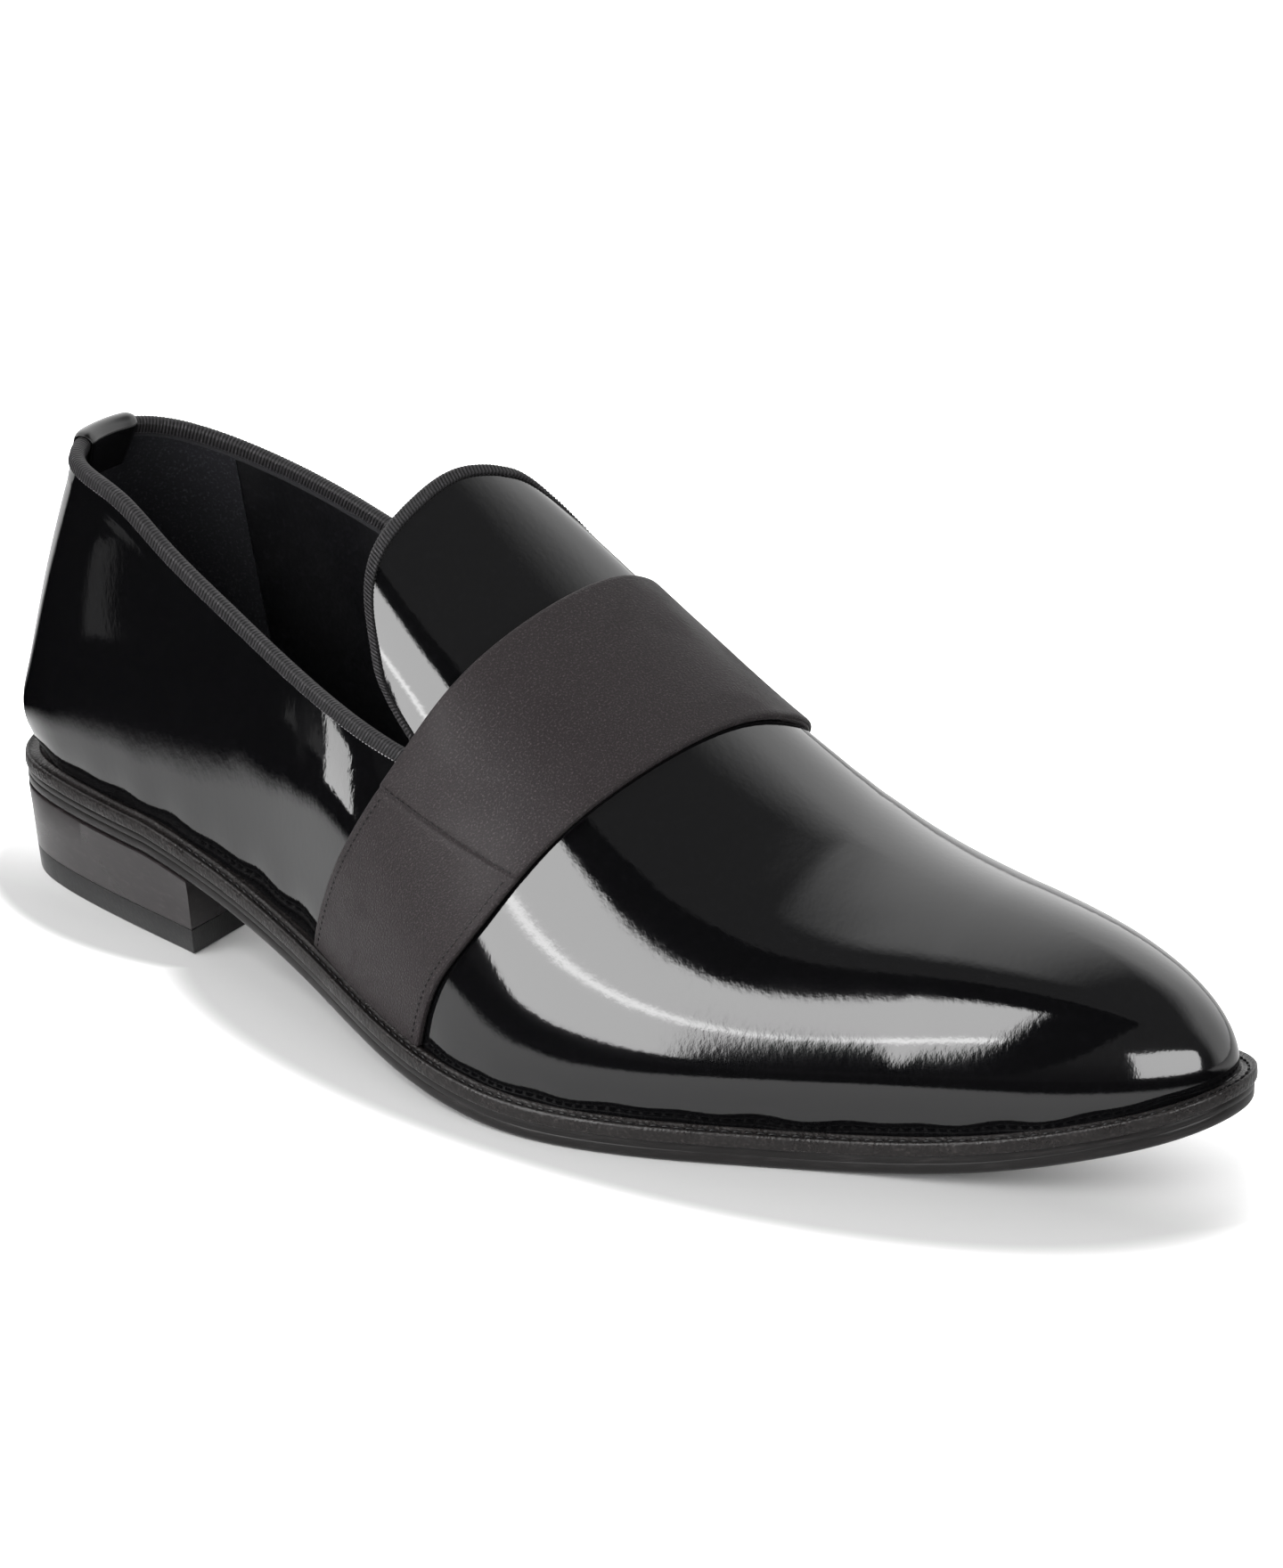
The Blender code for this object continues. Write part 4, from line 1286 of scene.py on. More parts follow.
@dataclass
class Upper:
    """The patent upper, its leather lining and the suede behind the heel."""

    last: Last
    leather: float = 0.9
    quarter_rows: int = 84
    quarter_columns: int = 46
    tongue_columns: int = 96
    vamp_rows: int = 120
    suede: float = 0.4
    suede_top_gap: float = 1.6
    suede_end: tuple[float, float] = (0.866, -0.537)
    suede_ways: tuple[float, float] = (0.06, 0.45)
    suede_grid: tuple[int, int] = (37, 41)
    suede_rounds: int = 4
    lining_gap: float = 0.04
    suede_gap: float = 0.03

    def patches(self, coarse: int = 1) -> Skin:
        """The whole upper as patches: both quarters, and the vamp with the tongue.

        Args:
            coarse: how many times fewer rows and columns.

        Returns:
            The skin.
        """
        last, skin = self.last, Skin(self.last)
        share = crowded(self.quarter_columns // coarse)
        sides = ((False, last.outer_notch_angle, 0.0), (True, last.inner_notch_angle, INNER_FEATHER))
        for inner, notch_angle, feather in sides:
            angle = notch_angle * crowded(self.quarter_rows // coarse)
            top = last.topline_girth(angle, inner)
            girth = feather + (top - feather)[:, None] * share[None, :]
            girth = girth[:, ::-1] if inner else girth
            skin.patch(np.repeat(angle[:, None], girth.shape[1], 1), girth)
        sweep_round = (1 - np.cos(np.linspace(0, math.pi, self.tongue_columns // coarse + 1))) / 2
        tongue = last.outer_notch + (last.inner_notch - last.outer_notch) * sweep_round
        outer = last.outer_notch * share
        inner = INNER_FEATHER + (last.inner_notch - INNER_FEATHER) * share[::-1]
        girth = np.concatenate([outer, tongue[1:-1], inner])
        start = last.edge_angle(girth)
        ahead = np.linspace(0, 1, self.vamp_rows // coarse + 1)[:, None]
        angle = start[None, :] + (math.pi - start[None, :]) * ahead
        skin.patch(angle, np.repeat(girth[None, :], len(ahead), 0))
        return skin

    def suede_patch(self) -> Skin:
        """The suede that lines the heel, with its slanting front edge.

        Returns:
            The skin.
        """
        last, skin = self.last, Skin(self.last)
        low, high = self.suede_ways
        rows, columns = self.suede_grid
        even = np.linspace(0, 1, columns)
        for inner in (False, True):
            angle = np.linspace(0, 1, rows)[:, None] * np.ones((1, columns))
            way = low + (high - low) * even[None, :] * np.ones_like(angle)
            for _ in range(self.suede_rounds):
                reach = self.suede_end[0] + self.suede_end[1] * way
                turn = angle * reach
                top = last.topline_girth(turn[:, -1], inner)
                top = INNER_FEATHER - top if inner else top
                top = top - self.suede_top_gap / last.stretch(turn[:, -1], top)[1]
                way = low + (top[:, None] - low) * even[None, :]
            girth = INNER_FEATHER - way if inner else way
            skin.patch(turn[:, ::-1] if inner else turn, girth[:, ::-1] if inner else girth)
        return skin

    def build(self, finishes: Finishes) -> None:
        """Makes the upper's leather, its lining and the heel's suede.

        Args:
            finishes: the shoe's materials.
        """
        relief = Relief(self.last)
        shell = self.patches().solid(0.0, -self.leather, relief)
        make_piece("upper_leather", shell, finishes.patent, Slot.PATENT, ["upper"], 60)
        lining = self.patches(2).solid(-self.leather - self.lining_gap, -self.last.wall)
        make_piece("leather_lining", lining, finishes.lining, Slot.LINING)
        wall = self.last.wall
        suede = self.suede_patch().solid(-wall - self.suede_gap, -wall - self.suede)
        make_piece("heel_lining", suede, finishes.suede, Slot.LINING)


@dataclass
class Stitches:
    """A row of small stitches, each a short thread that dips at both ends."""

    pitch: float = 1.0
    length: float = 0.72
    radius: float = 0.14
    sides: int = 6

    def row(self, line: Array, normal: Array, lift: float) -> Shape:
        """Stitches along a line.

        Args:
            line: points of the line.
            normal: the surface's normal at each point.
            lift: how far the thread's middle stands over the line.

        Returns:
            The stitches in one shape.
        """
        run = run_lengths(line)
        count = int(run[-1] / self.pitch)
        start = (run[-1] - count * self.pitch) / 2
        middles = start + self.pitch * (np.arange(count) + 0.5)
        profile = ((-0.5, 0.35, -0.8), (-0.38, 0.85, -0.1), (-0.15, 1.0, 0.35))
        rings = [*profile, *((-place, size, up) for place, size, up in reversed(profile))]
        turn = np.linspace(0, 2 * math.pi, self.sides, endpoint=False)
        points, faces = [], []
        for middle in middles:
            ids = []
            for place, size, up in rings:
                at = middle + place * self.length
                here = np.array([np.interp(at, run, line[:, k]) for k in range(3)])
                face = np.array([np.interp(at, run, normal[:, k]) for k in range(3)])
                ahead = np.array([np.interp(at + 0.2, run, line[:, k]) for k in range(3)])
                behind = np.array([np.interp(at - 0.2, run, line[:, k]) for k in range(3)])
                way = ahead - behind
                side = np.cross(face, way)
                side /= np.linalg.norm(side)
                face /= np.linalg.norm(face)
                centre = here + face * (lift + up * self.radius)
                ids.append(list(range(len(points), len(points) + self.sides)))
                round_ = np.cos(turn)[:, None] * side + np.sin(turn)[:, None] * face
                points += list(centre + self.radius * size * round_)
            faces += ring_faces(ids) + [tuple(reversed(ids[0])), tuple(ids[-1])]
        return Shape(np.array(points), faces)


@dataclass
class RibbonEdge:
    """Ribbed ribbon folded over the collar's and the tongue's edges, its stitches and the tape inside."""

    last: Last
    width: float = 2.1
    thickness: float = 0.9
    crown: float = 1.1
    seat: float = 0.06
    rib_height: float = 0.26
    samples: int = 4
    fine_steps: int = 500
    cut_step: float = 0.45
    band_gap: float = 0.06
    tape_depth: tuple[float, float] = (1.7, 3.5)
    tape: float = 0.42
    collar_stitch: tuple[float, float] = (0.20, 0.08)
    tongue_stitch: tuple[float, float] = (0.12, 0.05)

    def profile(self) -> list[tuple[float, float, float, float]]:
        """Places round the outside of the fold.

        Returns:
            For each, its share of the depth, its offsets along the normal and up, and its share of the ribs.
        """
        flat = [(1.0, 0.45, 0.0), (0.96, 0.85, 0.6)]
        flat += [(deep, 1.0, 1.0) for deep in (0.86, 0.6, 0.3, 0.0)]
        outside = [(deep, size * self.thickness, 0.0, rib) for deep, size, rib in flat]
        half = self.last.wall / 2
        over = []
        for turn in np.radians(np.arange(22.5, 180, 22.5)):
            across, up = math.cos(turn), math.sin(turn)
            over.append((0.0, (half + self.thickness) * across - half, self.crown * up, 1 - 0.55 * up))
        inside = [(deep, -self.last.wall - size, 0.0, rib) for deep, size, _, rib in reversed(outside)]
        return [*outside, *over, *inside]

    def sections(
        self, edge: Array, edge_normal: Array, deep: Array, deep_normal: Array
    ) -> tuple[Array, Array]:
        """Sections of the folded ribbon.

        Args:
            edge: points on the upper's edge, evenly spaced.
            edge_normal: the surface's normals there.
            deep: points below them.
            deep_normal: the surface's normals there.

        Returns:
            The sections, and their cut coordinates.
        """
        up = edge - deep
        up /= np.linalg.norm(up, axis=1, keepdims=True)
        run = run_lengths(edge)
        wave = (1 - np.cos(2 * math.pi * run / RIB_PITCH)) / 2
        valley = self.rib_height * wave**1.5
        outer, inner, cut = [], [], []
        across = 0.0
        for share, off, rise, rib in self.profile():
            base = edge + (deep - edge) * share
            face = edge_normal + (deep_normal - edge_normal) * share
            middle = off + self.last.wall / 2
            reach = math.hypot(middle, rise)
            out = (middle * face + rise * up) / reach
            outer.append(base - face * self.last.wall / 2 + out * (reach - valley * rib)[:, None])
            side = self.last.wall / 2 + self.seat
            level = np.clip(middle, -side, side)
            inner.append(base - face * self.last.wall / 2 + level * face + min(rise, self.seat) * up)
            cut.append(np.stack([run, np.full(len(run), across)], axis=1))
            across += self.cut_step
        ring = np.stack([*outer, *reversed(inner)], axis=1)
        return ring, np.stack([*cut, *reversed(cut)], axis=1)

    def even(self, turn: Array, line: Callable[[Array], tuple[Array, Array]]) -> Array:
        """Places along a line that lie a part of a rib apart.

        Args:
            turn: fine places along the line.
            line: gives the points and normals of the line.

        Returns:
            The even places.
        """
        run = run_lengths(line(turn)[0])
        steps = int(run[-1] / RIB_PITCH * self.samples)
        return np.interp(np.linspace(0, run[-1], steps + 1), run, turn)

    def collar_line(self, angle: Array, inner: bool, depth: float) -> Array:
        """Girth of the line that runs at a depth below the collar's edge.

        Args:
            angle: angles along the last.
            inner: whether it is the inner side.
            depth: millimetres below the edge.

        Returns:
            One girth for each angle.
        """
        girth = self.last.topline_girth(angle, inner)
        step = depth / self.last.stretch(angle, girth)[1]
        return girth + (step if inner else -step)

    def collar_end(self, inner: bool, notch: float, depth: float) -> float:
        """Angle at which a line of the collar comes up to the band.

        Args:
            inner: whether it is the inner side.
            notch: the notch's angle.
            depth: millimetres below the edge.

        Returns:
            The angle.
        """

        def at_band(angle: Array) -> Array:
            """Whether the line has come up to the band."""
            return self.last.room_to_band(angle, self.collar_line(angle, inner, depth)) < self.band_gap

        return float(halve([0.5 * notch], [notch], at_band)[0])

    def collar_half(
        self, inner: bool, depth: float, end_depth: float | None = None
    ) -> Callable[[Array], tuple[Array, Array]]:
        """The line at a depth below one side's collar, as a function of shares from the heel to the band.

        Args:
            inner: whether it is the inner side.
            depth: millimetres below the edge.
            end_depth: the depth at which its end is found, if it is another.

        Returns:
            The function, which gives points and normals.
        """
        notch = self.last.inner_notch_angle if inner else self.last.outer_notch_angle
        end = self.collar_end(inner, notch, depth if end_depth is None else end_depth)

        def line(share: Array) -> tuple[Array, Array]:
            """Points and normals of the line."""
            angle = np.asarray(share) * end
            return self.last.surface(angle, self.collar_line(angle, inner, depth))

        return line

    def collar(self) -> tuple[Array, Array]:
        """Sections and cut coordinates of the ribbon round the collar, from notch to notch.

        Returns:
            The sections and the coordinates.
        """
        fine = np.linspace(0, 1, self.fine_steps)
        sides = []
        for inner in (True, False):
            top, low = self.collar_half(inner, 0.0), self.collar_half(inner, self.width)
            share = self.even(fine, top)
            edge, deep = top(share), low(share)
            sides.append([part[::-1] if inner else part for part in (*edge, *deep)])
        joined = [np.concatenate([first[:-1], second]) for first, second in zip(*sides)]
        return self.sections(*joined)

    def tongue_angle(self, girth: Array, depth: float) -> Array:
        """Angle of the line that runs at a depth in front of the tongue's edge."""
        angle = self.last.edge_angle(girth)
        return angle + depth / self.last.stretch(angle, girth)[0]

    def tongue_line(self, girth: Array, depth: float) -> tuple[Array, Array]:
        """Points and normals of the line that runs at a depth in front of the tongue's edge."""
        return self.last.surface(self.tongue_angle(girth, depth), girth)

    def tongue_ends(self, depth: float) -> Array:
        """Girths at which a line of the tongue comes up to the band, on the outer and the inner side.

        Args:
            depth: millimetres in front of the edge.

        Returns:
            The two girths.
        """

        def clear(girth: Array) -> Array:
            """Whether the line is clear of the band."""
            return self.last.room_to_band(self.tongue_angle(girth, depth), girth) > self.band_gap

        return halve([self.last.outer_notch, self.last.inner_notch], [RIDGE, RIDGE], clear)

    def tongue_pair(self, depth: float) -> Callable[[Array], tuple[Array, Array]]:
        """The line at a depth along the tongue, as a function of shares from the outer to the inner side."""
        first, last = self.tongue_ends(depth)
        return lambda share: self.tongue_line(first + (last - first) * np.asarray(share), depth)

    def tongue(self) -> tuple[Array, Array]:
        """Sections and cut coordinates of the ribbon round the tongue.

        Returns:
            The sections and the coordinates.
        """
        top, low = self.tongue_pair(0.0), self.tongue_pair(self.width)
        share = self.even(np.linspace(0, 1, self.fine_steps), top)
        return self.sections(*top(share), *low(share))

    def tape_strip(self) -> Shape:
        """The plain tape that shows inside, below the collar's ribbon.

        Returns:
            The tape.
        """
        wall, edges = self.last.wall, []
        for depth in self.tape_depth:
            sides = []
            for inner in (True, False):
                point, normal = self.collar_half(inner, depth)(np.linspace(0, 1, 160))
                sides.append([part[::-1] if inner else part for part in (point, normal)])
            edges.append([np.concatenate([first[:-1], second]) for first, second in zip(*sides)])
        (top, top_normal), (low, low_normal) = edges
        rows = []
        for share, size in ((0.0, 0.9), (0.3, 1.0), (0.7, 1.0), (0.93, 0.9), (1.0, 0.45)):
            point, normal = top + (low - top) * share, top_normal + (low_normal - top_normal) * share
            rows.append((point - normal * (wall + self.tape * size), point - normal * (wall + 0.02)))
        ring = np.stack([*(row[0] for row in rows), *(row[1] for row in reversed(rows))], axis=1)
        run = run_lengths(top)[:, None] * np.ones((1, ring.shape[1]))
        across = np.array([0, 0.6, 1.2, 1.7, 1.8, 1.8, 1.7, 1.2, 0.6, 0])[None, :] * np.ones_like(run)
        return sweep(ring, np.stack([run, across], axis=2))

    def build(self, finishes: Finishes) -> None:
        """Makes both ribbons, their stitches and the tape.

        Args:
            finishes: the shoe's materials.
        """
        collar, tongue = sweep(*self.collar()), sweep(*self.tongue())
        make_piece("collar_ribbon", collar, finishes.ribbed, Slot.RIBBON, ["collar_binding"], 70)
        make_piece("tongue_ribbon", tongue, finishes.ribbed, Slot.RIBBON, ["tongue_binding"], 70)
        make_piece("collar_tape", self.tape_strip(), finishes.plain_tape, Slot.RIBBON)
        stitches, share = Stitches(length=0.55, radius=0.15), np.linspace(0, 1, 400)
        gap, lift = self.collar_stitch
        lines = [self.collar_half(inner, self.width + gap)(share) for inner in (False, True)]
        rows = [stitches.row(*line, lift) for line in lines]
        make_piece("collar_stitches", rows[0].joined(rows[1]), finishes.pale_thread, Slot.RIBBON)
        gap, lift = self.tongue_stitch
        row = stitches.row(*self.tongue_pair(self.width + gap)(share), lift)
        make_piece("tongue_stitches", row, finishes.thread, Slot.RIBBON)


@dataclass
class InstepBand:
    """The satin band over the instep: folded edges, a cross seam on each side and stitches.

    The fold is given by distances in from the band's edge, each with its share of the height.
    """

    last: Last
    height: float = 1.9
    foot: float = 0.5
    steps: int = 420
    columns: int = 26
    seat: float = 0.05
    lower: float = 0.80
    seam: tuple[float, float] = (0.420, 0.465)
    seam_width: float = 0.5
    seam_depth: float = 0.22
    seam_lap: float = 0.35
    girth_scale: float = 82.0
    pucker: float = 0.03
    slack: float = 0.10
    stitch_inset: float = 2.0
    fold: tuple[tuple[float, float], ...] = (
        (0.75, 0.03), (0.20, 0.14), (0.02, 0.28), (0.10, 0.42), (0.26, 0.48), (0.06, 0.56),
        (0.00, 0.70), (0.14, 0.86), (0.45, 0.96), (0.95, 1.0), (1.6, 1.0),
    )

    def thickness(self, girth: Array, share: Array) -> Array:
        """Height of the band's face over the upper, lower below the cross seams.

        Args:
            girth: girths of the last.
            share: ways across the band, from its back to its front.

        Returns:
            One height for each place.
        """
        way = np.minimum(girth, INNER_FEATHER - girth)
        seam = self.seam[0] + (self.seam[1] - self.seam[0]) * share
        over = (way - seam) * self.girth_scale
        step = self.lower + (1 - self.lower) * smooth_step(over, -self.seam_lap, self.seam_lap)
        groove = self.seam_depth * bell(over + 0.2, self.seam_width)
        pucker = self.pucker * np.sin(share * 75.0) * bell(over, 2.2)
        return self.height * step - groove + pucker

    def build(self, finishes: Finishes) -> None:
        """Makes the band and its stitches.

        Args:
            finishes: the shoe's materials.
        """
        last = self.last
        start = self.foot / last.stretch(np.array([last.outer_notch_angle]), np.array([0.0]))[1][0]
        girth = np.linspace(start, INNER_FEATHER - start, self.steps + 1)
        back, front = last.band_edges(girth)
        middle = (back + front) / 2
        width = (front - back) * last.stretch(middle, girth)[0]
        shares = [np.full(len(girth), inset) / width for inset, _ in self.fold]
        heights = [size for _, size in self.fold]
        inside = np.linspace(0, 1, self.columns + 1)[1:-1]
        first, final = shares[-1], 1 - shares[-1]
        shares += [first + (final - first) * part for part in inside]
        heights += [1.0] * len(inside)
        shares += [1 - share for share in shares[: len(self.fold)][::-1]]
        heights += heights[: len(self.fold)][::-1]
        share = np.stack(shares, axis=1)
        grid = np.repeat(girth[:, None], share.shape[1], 1)
        angle = back[:, None] + (front - back)[:, None] * share
        point, normal = last.surface(angle, grid)
        lift = self.thickness(grid, share) * np.array(heights)[None, :]
        face = np.array(heights)[None, :] >= 1.0
        swell = self.slack * np.sin(grid * 11.0 + share * 4.0) * np.sin(math.pi * share) * face
        top = point + (lift + swell)[..., None] * normal
        low = point + self.seat * normal
        ring = np.concatenate([top, low[:, ::-1]], axis=1)
        run = run_lengths(top[:, share.shape[1] // 2])[:, None] * np.ones((1, share.shape[1]))
        cut = np.stack([run, share * width[:, None]], axis=2)
        shape = sweep(ring, np.concatenate([cut, cut[:, ::-1]], axis=1))
        make_piece("instep_ribbon", shape, finishes.satin, Slot.SATIN, ["instep_band"], 70)
        self.build_stitches(finishes, start)

    def face_line(self, girth: Array, inset: Array | float, from_back: bool) -> tuple[Array, Array]:
        """A line on the band's face at a distance from one of its edges.

        Args:
            girth: girths of the last.
            inset: the distance.
            from_back: whether it is taken from the back edge.

        Returns:
            Points and normals.
        """
        back, front = self.last.band_edges(girth)
        width = (front - back) * self.last.stretch((back + front) / 2, girth)[0]
        share = inset / width if from_back else 1 - inset / width
        point, normal = self.last.surface(back + (front - back) * share, girth)
        return point + normal * self.thickness(girth, share)[:, None], normal

    def build_stitches(self, finishes: Finishes, start: float) -> None:
        """Rows along both edges below the cross seams, and one along each cross seam.

        Args:
            finishes: the shoe's materials.
            start: girth of the band's foot.
        """
        stitches, rows = Stitches(pitch=1.7, length=1.15, radius=0.15), []
        for inner in (False, True):
            for from_back in (True, False):
                end = self.seam[0] if from_back else self.seam[1]
                way = np.linspace(start, end - 0.01, 120)
                girth = INNER_FEATHER - way if inner else way
                rows.append(stitches.row(*self.face_line(girth, self.stitch_inset, from_back), 0.0))
            share = np.linspace(0.03, 0.97, 80)
            way = self.seam[0] + (self.seam[1] - self.seam[0]) * share + 0.006
            girth = INNER_FEATHER - way if inner else way
            back, front = self.last.band_edges(girth)
            point, normal = self.last.surface(back + (front - back) * share, girth)
            rows.append(stitches.row(point + normal * self.thickness(girth, share)[:, None], normal, -0.02))
        shape = rows[0]
        for row in rows[1:]:
            shape = shape.joined(row)
        make_piece("band_stitches", shape, finishes.thread, Slot.SATIN)


@dataclass
class BackStrip:
    """The strip over the back seam, which rides over the collar's ribbon and folds into the heel."""

    last: Last
    ribbon: float = 2.1
    seat: float = 0.08
    over: float = 1.2
    thickness: float = 0.8
    width: float = 19.0
    point_width: float = 7.0
    drop: float = 27.0
    fold: float = 9.0
    rounding: float = 2.5
    columns: int = 28

    def column(self, side: float) -> tuple[Array, Array, Array]:
        """One column up the strip, from its point to the collar's edge.

        Args:
            side: from -1 on the outer side to 1 on the inner side.

        Returns:
            The points and normals on the upper, and how far above it the strip's underside lies.
        """
        near = np.array([2.6, 2.0, 1.4, 0.9, 0.4, 0.0])
        drops = np.concatenate([np.linspace(self.drop, self.ribbon + 1.4, 14), self.ribbon * near / 2.6])
        half = (self.point_width + (self.width - self.point_width) * (1 - drops / self.drop)) / 2
        around = self.last.stretch(np.array([0.001]), np.array([0.4]))[0][0]
        angle = abs(side) * half / around
        girth = self.last.topline_girth(angle, side > 0)
        lift = self.seat + (self.over - self.seat) * smooth_step(-drops, -self.ribbon - 1.4, -self.ribbon)
        drops = drops - self.rounding * abs(side) ** 3 * smooth_step(drops, self.drop - 8, self.drop)
        step = drops / self.last.stretch(angle, girth)[1]
        point, normal = self.last.surface(angle, girth + (step if side > 0 else -step))
        return point, normal, lift

    def section(self, side: float) -> Array:
        """The strip's section at a side: up the seam, over the ribbon and down inside the collar.

        Args:
            side: from -1 on the outer side to 1 on the inner side.

        Returns:
            The points.
        """
        path, facing, lift = self.column(side)
        top, face = path[-1], facing[-1]
        up, down = path[-1] - path[-2], path[-1] - path[12]
        up, down = up / np.linalg.norm(up), down / np.linalg.norm(down)
        wall = self.last.wall
        edge = max(1 - abs(side) ** 8, 0.12) ** 0.5
        skin = self.thickness * edge

        def layer(extra: float) -> list[Array]:
            """The points of one layer of the strip.

            Args:
                extra: how far out the layer lies.

            Returns:
                The points.
            """
            sole = np.full(len(path), 1.0)
            sole[0] = 0.35
            rows = list(path + (lift + extra * sole)[:, None] * facing)
            reach = wall / 2 + self.over + extra
            for turn in np.radians([25, 50, 75, 90, 105, 130, 155, 180]):
                rise = (self.over + 0.15 + extra) * math.sin(turn)
                rows.append(top - wall / 2 * face + reach * math.cos(turn) * face + rise * up)
            inside = top - (wall / 2 + reach) * face
            rows += [inside - self.fold * part * down for part in (0.15, 0.35, 0.6, 0.8, 0.95, 1.0)]
            return rows

        return np.array([*layer(skin), *reversed(layer(0.0))])

    def build(self, finishes: Finishes) -> None:
        """Makes the strip.

        Args:
            finishes: the shoe's materials.
        """
        sides = np.sin(np.linspace(-math.pi / 2, math.pi / 2, self.columns + 1))
        shape = sweep(np.array([self.section(side) for side in sides]))
        make_piece("back_strip", shape, finishes.tab_patent, Slot.PATENT, ["heel_tab"], 60)


@dataclass
class Bottom:
    """Outsole, welt, heel and insole."""

    last: Last
    stitch_start: float = 0.95
    stitch_inset: float = 1.8
    stitch_drop: float = 0.44
    steps: int = 300
    welt_step: float = 0.5
    welt_under: float = 2.6
    edge_round: float = 1.2
    heel_taper: float = 2.0
    top_lift: float = 6.0
    insole: float = 4.6
    heel_steps: int = 160

    def angles(self) -> Array:
        """Angles once round the sole, the outer side and then the inner side at the same stations."""
        half = np.linspace(0, math.pi, self.steps + 1)
        return np.concatenate([half, 2 * math.pi - half[-2:0:-1]])

    def rings(self, profile: Sequence[tuple[float, Heights]], wobble: float = 0.0) -> Shape:
        """Rings round the sole.

        Args:
            profile: each ring's inset and height.
            wobble: how unevenly the rings are trimmed.

        Returns:
            The rings' points with their faces, open at both ends, and cut coordinates along and up.
        """
        angles = self.angles()
        points, cuts, rings, up = [], [], [], 0.0
        run = run_lengths(self.last.sole.outline(angles))
        before = None
        for inset, height in profile:
            ring = self.last.sole.outline(angles, inset)
            z = height(ring[:, 0]) + wobble * np.sin(run / 3.1) * np.sin(run / 7.7)
            rings.append(list(range(len(points) * len(angles), (len(points) + 1) * len(angles))))
            point = np.column_stack([ring, z])
            up += 0.0 if before is None else float(np.linalg.norm(point[0] - before))
            before = point[0]
            points.append(point)
            cuts.append(np.stack([run, np.full(len(run), up)], axis=1))
        return Shape(np.concatenate(points), ring_faces(rings), np.concatenate(cuts))

    def ring_list(self, count: int) -> list[list[int]]:
        """Vertex numbers of each ring."""
        size = 2 * self.steps
        return [list(range(i * size, (i + 1) * size)) for i in range(count)]

    def capped(self, profile: Sequence[tuple[float, Heights]]) -> Shape:
        """Rings round the sole, with caps from side to side on the first and the last."""
        shape, rings = self.rings(profile), self.ring_list(len(profile))
        return Shape(shape.points, shape.faces + side_to_side(rings[0]) + side_to_side(rings[-1]), shape.cut)

    def outsole(self) -> Shape:
        """The outsole: rounded lower edge, a faint layer line in its side and a stitch channel underneath.

        Returns:
            The outsole.
        """
        sole, r, step = self.last.sole, self.edge_round, self.welt_step
        profile: list[tuple[float, Heights]] = [
            (step + 6.2, sole.bottom),
            (step + 5.6, raised(sole.bottom, 0.35)),
            (step + 5.0, raised(sole.bottom, 0.35)),
            (step + 4.4, sole.bottom),
            (step + 2.2 * r, sole.bottom),
        ]
        for turn in np.radians([0, 22, 45, 68, 90]):
            inset, rise = step + r * (1 - math.sin(turn)), r * (1 - math.cos(turn))
            profile.append((inset, raised(sole.bottom, rise)))
        for rise, inset in ((2.5, 0.0), (2.72, 0.10), (2.94, 0.0), (4.0, 0.0), (4.26, 0.12), (4.42, 0.12)):
            profile.append((step + inset, raised(sole.bottom, rise)))
        profile.append((step + 3.0, raised(sole.bottom, 4.42)))
        return self.capped(profile)

    def welt(self) -> Shape:
        """The welt: rounded rim, a worked trough for its stitches and a fine bead against the upper.

        Returns:
            The welt.
        """
        sole, under = self.last.sole, self.last.sole.rim + self.welt_under
        low, top = sole.welt_low, sole.welt_top
        sides = ((0.30, 0.0), (0.08, 0.14), (0.0, 0.45), (0.0, 1.1), (0.05, 1.75))
        crest = ((0.10, -0.75), (0.16, -0.42), (0.34, -0.14), (0.58, -0.02), (0.82, -0.10), (1.05, -0.30))
        trough = ((1.35, -0.42), (1.8, -0.46), (2.25, -0.42), (2.6, -0.26), (2.8, -0.04), (3.0, 0.08))
        bead = ((3.2, 0.10), (3.42, 0.0), (3.6, -0.16), (4.2, -0.16), (under, -0.16))
        profile: list[tuple[float, Heights]] = [(under, low)]
        profile += [(inset, raised(low, rise)) for inset, rise in sides]
        profile += [(inset, raised(top, rise)) for inset, rise in (*crest, *trough, *bead)]
        shape = self.rings(profile, 0.02)
        rings = self.ring_list(len(profile))
        return Shape(shape.points, shape.faces + ring_faces([rings[-1], rings[0]]), shape.cut)

    def welt_stitches(self) -> Shape:
        """Stitches in the welt's trough, once round the sole from breast to breast.

        Returns:
            The stitches.
        """
        sole = self.last.sole
        angles = np.linspace(self.stitch_start, 2 * math.pi - self.stitch_start, 1400)
        ring = sole.outline(angles, self.stitch_inset)
        line = np.column_stack([ring, sole.welt_top(ring[:, 0]) - self.stitch_drop])
        normal = np.tile([0.0, 0.0, 1.0], (len(line), 1))
        return Stitches(pitch=2.4, length=1.9, radius=0.24).row(line, normal, 0.10)

    def heel_ring(self, inset: float, breast: float) -> Array:
        """The sole's outline behind the breast, closed across it.

        Args:
            inset: how far inwards.
            breast: the breast's station.

        Returns:
            The ring's points.
        """
        sole = self.last.sole

        def past(angle: Array) -> Array:
            """Whether the outline is past the breast."""
            return sole.outline(angle, inset)[:, 0] > breast

        reach = float(halve([0.2], [math.pi / 2], past)[0])
        return sole.outline(np.linspace(-reach, reach, self.heel_steps + 1), inset)

    def taper_at(self, z: float) -> float:
        """Inset of the heel's side at a height, from the seat down to the floor."""
        return self.welt_step + self.heel_taper * (1 - z / self.last.sole.heel_height)

